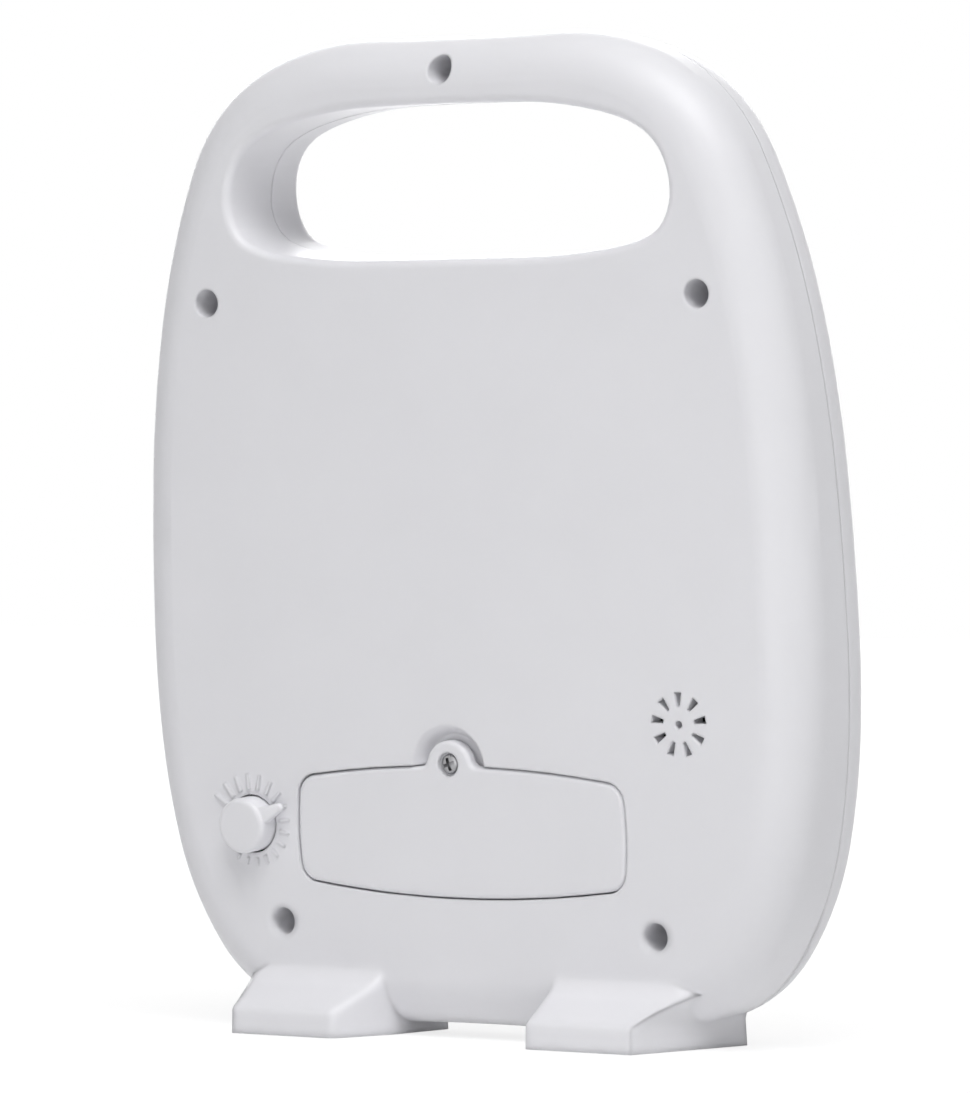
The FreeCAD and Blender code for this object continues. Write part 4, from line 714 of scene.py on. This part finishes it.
class OBJECT_OT_timer_movement(Operator):
    """Finish the quartz movement and its gears"""

    bl_idname = "object.timer_movement"
    bl_label = "Movement"

    def execute(self, context):
        dark = moulded_plastic("inner plastic", (0.02, 0.02, 0.022), 0.5)
        finish(dark, "chassis_plate", "movement_base", "movement_cover", "volume_pot", "board_parts")
        pale = moulded_plastic("gear plastic", (0.74, 0.73, 0.64), 0.35)
        finish(pale, "centre_wheel", "third_wheel", "second_wheel", "rotor")
        finish(metal("turned brass", (0.72, 0.5, 0.2), 0.28), "centre_shaft")
        finish(wound_wire("copper wire", (0.62, 0.24, 0.1), 0.25 * MM), "coil")
        finish(metal("sheet steel", (0.55, 0.55, 0.56), 0.3), "stator", "clutch_spring")
        return {"FINISHED"}


class OBJECT_OT_timer_power(Operator):
    """Finish the cell, its contacts, the boards and the speaker"""

    bl_idname = "object.timer_power"
    bl_label = "Power and sound"

    def execute(self, context):
        strip = metal("contact strip", (0.62, 0.62, 0.6), 0.25)
        finish(strip, "positive_contact", "negative_contact")
        lowest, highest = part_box("battery_cell")
        finish(cell_jacket("cell jacket", lowest[0], highest[0]), "battery_cell")
        lacquer = moulded_plastic("board lacquer", (0.02, 0.12, 0.045), 0.35)
        finish(lacquer, "movement_board", "volume_board", "alarm_board")
        finish(metal("speaker frame", (0.3, 0.3, 0.31), 0.4), "speaker_frame")
        paper = moulded_plastic("speaker cone", (0.025, 0.025, 0.025), 0.8, 0.02 * MM)
        finish(paper, "speaker_cone")
        return {"FINISHED"}


class OBJECT_OT_timer_screws(Operator):
    """Make the cross-recessed screws, in zinc-plated steel"""

    bl_idname = "object.timer_screws"
    bl_label = "Screws"

    def execute(self, context):
        zinc = metal("zinc plating", (0.36, 0.36, 0.37), 0.3)
        # each node, its body, its shank's radius and its head's height in mm, and where it faces
        kinds = (
            ("housing_screws", "case", 1.15, 1.6, TO_REAR),
            ("dial_screws", "case", 0.83, 1.1, TO_REAR),
            ("movement_screws", "case", 0.83, 1.1, TO_FRONT),
            ("board_screws", "case", 0.83, 1.1, TO_FRONT),
            ("door_screw", "battery_door", 1.15, 0.9, TO_REAR),
        )
        for node, body, radius, head_height, facing in kinds:
            shape = bmesh.new()
            for lowest, highest in solids(node):
                head_radius = (highest[0] - lowest[0]) / 2
                mesh = self.make_screw(radius, head_radius, head_height, highest[1] - lowest[1])
                if facing == TO_REAR:
                    under_head = highest[1] - head_height
                else:
                    under_head = lowest[1] + head_height
                place = ((lowest[0] + highest[0]) / 2, under_head, (lowest[2] + highest[2]) / 2)
                mesh.transform(seat(facing, *place))
                shape.from_mesh(mesh)
                bpy.data.meshes.remove(mesh)
            add_piece(node + "_turned", shape, zinc, body, [node])
        return {"FINISHED"}

    def make_screw(self, radius, head_radius, head_height, overall):
        """A screw in mm, its shank down from 0 and its head up, with a thread and cross recess."""
        points = [(head_radius * across, head_height * up) for across, up in HEAD_OUTLINE]
        points += [(radius, 0.0)]
        length = overall - head_height
        turns_and_groove_shade = int((length - THREAD_START - THREAD_END) / THREAD_PITCH)
        for number in range(turns_and_groove_shade):
            height = -THREAD_START - THREAD_PITCH * number
            points += [(radius * THREAD_CORE, height), (radius, height - THREAD_PITCH / 2)]
        points += [(radius * THREAD_CORE, POINT_LENGTH - length)]
        points += [(radius * POINT_END, -length), (0.0, -length)]
        screw = rounded_profile(points)
        spin_round(screw, SCREW_STEPS)
        mesh = to_mesh("screw", screw)
        for turn in (RECESS_TURN, RECESS_TURN + math.pi / 2):
            bit = bmesh.new()
            bmesh.ops.create_cube(bit, size=1.0)
            for vert in bit.verts:
                taper = RECESS_TAPER if vert.co.z < 0 else 1.0
                vert.co.x *= head_radius * RECESS_LENGTH * taper
                vert.co.y *= head_radius * RECESS_WIDTH
                # the bit stands out of the head, so that its end leaves no skin
                vert.co.z = head_height * 1.3 if vert.co.z > 0 else RECESS_FLOOR
            bmesh.ops.transform(bit, matrix=Matrix.Rotation(turn, 4, "Z"), verts=bit.verts)
            mesh = combine(mesh, to_mesh("bit", bit), "DIFFERENCE")
        return mesh


class OBJECT_OT_timer_stage(Operator):
    """Set up the floor, the lamps, the surroundings and the camera"""

    bl_idname = "object.timer_stage"
    bl_label = "Stage"

    def execute(self, context):
        self.make_floor()
        self.make_world()
        self.make_lamps()
        self.make_camera(context)
        context.scene.view_settings.view_transform = "Standard"
        return {"FINISHED"}

    def make_floor(self):
        """A sheet of white paper that takes the object's shadow."""
        sheet = bmesh.new()
        bmesh.ops.create_grid(sheet, x_segments=1, y_segments=1, size=FLOOR_HALF_SIZE)
        bmesh.ops.translate(sheet, verts=sheet.verts, vec=(0.0, 0.0, -FLOOR_DROP))
        floor = bpy.data.objects.new("floor", to_mesh("floor", sheet))
        bpy.context.scene.collection.objects.link(floor)
        material, tree, shader = new_material("floor paper")
        shader.inputs["Base Color"].default_value = (0.92, 0.92, 0.92, 1.0)
        shader.inputs["Roughness"].default_value = 0.9
        floor.data.materials.append(material)
        # the paper glows to the eye, and keeps some of its own shading for the contact shadow
        glow = tree.nodes.new("ShaderNodeEmission")
        glow.inputs["Strength"].default_value = 1.1
        place = tree.nodes.new("ShaderNodeTexCoord")
        distance = tree.nodes.new("ShaderNodeVectorMath")
        distance.operation = "LENGTH"
        near = tree.nodes.new("ShaderNodeMapRange")
        near.interpolation_type = "SMOOTHSTEP"
        near.inputs["From Min"].default_value = SHADOW_FULL
        near.inputs["From Max"].default_value = SHADOW_GONE
        near.inputs["To Min"].default_value = 0.7
        share = tree.nodes.new("ShaderNodeMath")
        share.operation = "MULTIPLY"
        mix = tree.nodes.new("ShaderNodeMixShader")
        tree.links.new(place.outputs["Object"], distance.inputs[0])
        tree.links.new(distance.outputs["Value"], near.inputs["Value"])
        tree.links.new(self.seen_directly(tree), share.inputs[0])
        tree.links.new(near.outputs["Result"], share.inputs[1])
        tree.links.new(share.outputs["Value"], mix.inputs["Fac"])
        tree.links.new(shader.outputs["BSDF"], mix.inputs[1])
        tree.links.new(glow.outputs["Emission"], mix.inputs[2])
        # from below the paper isn't there, so that the feet show
        side = tree.nodes.new("ShaderNodeNewGeometry")
        clear = tree.nodes.new("ShaderNodeBsdfTransparent")
        either_side = tree.nodes.new("ShaderNodeMixShader")
        tree.links.new(side.outputs["Backfacing"], either_side.inputs["Fac"])
        tree.links.new(mix.outputs["Shader"], either_side.inputs[1])
        tree.links.new(clear.outputs["BSDF"], either_side.inputs[2])
        tree.links.new(either_side.outputs["Shader"], tree.nodes["Material Output"].inputs["Surface"])

    def seen_directly(self, tree):
        """1 for a ray from the camera, or one that metal, gloss or glass sends on, else 0."""
        path = tree.nodes.new("ShaderNodeLightPath")
        value = path.outputs["Is Camera Ray"]
        for kind in ("Is Glossy Ray", "Is Transmission Ray"):
            either = tree.nodes.new("ShaderNodeMath")
            either.operation = "MAXIMUM"
            tree.links.new(value, either.inputs[0])
            tree.links.new(path.outputs[kind], either.inputs[1])
            value = either.outputs["Value"]
        return value

    def make_world(self):
        """White surroundings to the eye, which light the object only dimly."""
        world = bpy.data.worlds.new("studio")
        world.use_nodes = True
        tree = world.node_tree
        tree.nodes.clear()
        output = tree.nodes.new("ShaderNodeOutputWorld")
        dim = tree.nodes.new("ShaderNodeBackground")
        dim.inputs["Color"].default_value = (0.97, 0.98, 1.0, 1.0)
        dim.inputs["Strength"].default_value = 0.12
        white = tree.nodes.new("ShaderNodeBackground")
        white.inputs["Color"].default_value = (1.0, 1.0, 1.0, 1.0)
        mix = tree.nodes.new("ShaderNodeMixShader")
        tree.links.new(self.seen_directly(tree), mix.inputs["Fac"])
        tree.links.new(dim.outputs["Background"], mix.inputs[1])
        tree.links.new(white.outputs["Background"], mix.inputs[2])
        tree.links.new(mix.outputs["Shader"], output.inputs["Surface"])
        bpy.context.scene.world = world

    def make_lamps(self):
        """The lamps round the object."""
        for name, (size, power, place, target) in LAMPS.items():
            aim_light(name, size, power, place, target)

    def make_camera(self, context):
        """The camera, from its aiming point, distance, turn, climb and roll."""
        settings = context.scene.timer_stage
        turn, climb, roll = settings.turn, settings.climb, settings.roll
        level = math.cos(climb)
        back = Vector((-math.sin(turn) * level, math.cos(turn) * level, math.sin(climb)))
        right = Vector((-math.cos(turn), -math.sin(turn), 0.0))
        up = back.cross(right)
        tilted_right = right * math.cos(roll) - up * math.sin(roll)
        tilted_up = right * math.sin(roll) + up * math.cos(roll)
        camera = bpy.data.cameras.new("camera")
        camera.sensor_fit = "VERTICAL"
        camera.sensor_height = 36.0
        camera.lens = settings.lens
        camera.clip_start = 0.05
        camera.clip_end = 20.0
        obj = bpy.data.objects.new("camera", camera)
        context.scene.collection.objects.link(obj)
        facing = Matrix((tilted_right, tilted_up, back)).transposed()
        place = Vector(settings.aim) + back * settings.distance
        obj.matrix_world = Matrix.Translation(place) @ facing.to_4x4()
        context.scene.camera = obj


OPERATORS = (
    OBJECT_OT_timer_housing,
    OBJECT_OT_timer_volume_knob,
    OBJECT_OT_timer_dial,
    OBJECT_OT_timer_movement,
    OBJECT_OT_timer_power,
    OBJECT_OT_timer_screws,
    OBJECT_OT_timer_stage,
)

SETTINGS = {
    "timer_housing": TimerHousing,
    "timer_knob": TimerKnob,
    "timer_dial": TimerDial,
    "timer_stage": TimerStage,
}


class VIEW3D_PT_timer(Panel):
    """Lists the timer's pieces and its stage"""

    bl_label = "Visual timer"
    bl_idname = "VIEW3D_PT_timer"
    bl_space_type = "VIEW_3D"
    bl_region_type = "UI"
    bl_category = "Timer"

    def draw(self, context):
        for operator in OPERATORS:
            self.layout.operator(operator.bl_idname)
        for group, kind in SETTINGS.items():
            for name in kind.__annotations__:
                self.layout.prop(getattr(context.scene, group), name)


def register():
    """Registers the settings, the operators and the panel."""
    for group in SETTINGS.values():
        bpy.utils.register_class(group)
    for name, group in SETTINGS.items():
        setattr(bpy.types.Scene, name, PointerProperty(type=group))
    for operator in OPERATORS:
        bpy.utils.register_class(operator)
    bpy.utils.register_class(VIEW3D_PT_timer)


def unregister():
    """Takes back what register did."""
    bpy.utils.unregister_class(VIEW3D_PT_timer)
    for operator in reversed(OPERATORS):
        bpy.utils.unregister_class(operator)
    for name in SETTINGS:
        delattr(bpy.types.Scene, name)
    for group in SETTINGS.values():
        bpy.utils.unregister_class(group)


def main():
    """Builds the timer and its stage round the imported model."""
    register()
    bpy.ops.object.timer_housing()
    bpy.ops.object.timer_volume_knob()
    bpy.ops.object.timer_dial()
    bpy.ops.object.timer_movement()
    bpy.ops.object.timer_power()
    bpy.ops.object.timer_screws()
    bpy.ops.object.timer_stage()


if __name__ == "__main__":
    main()
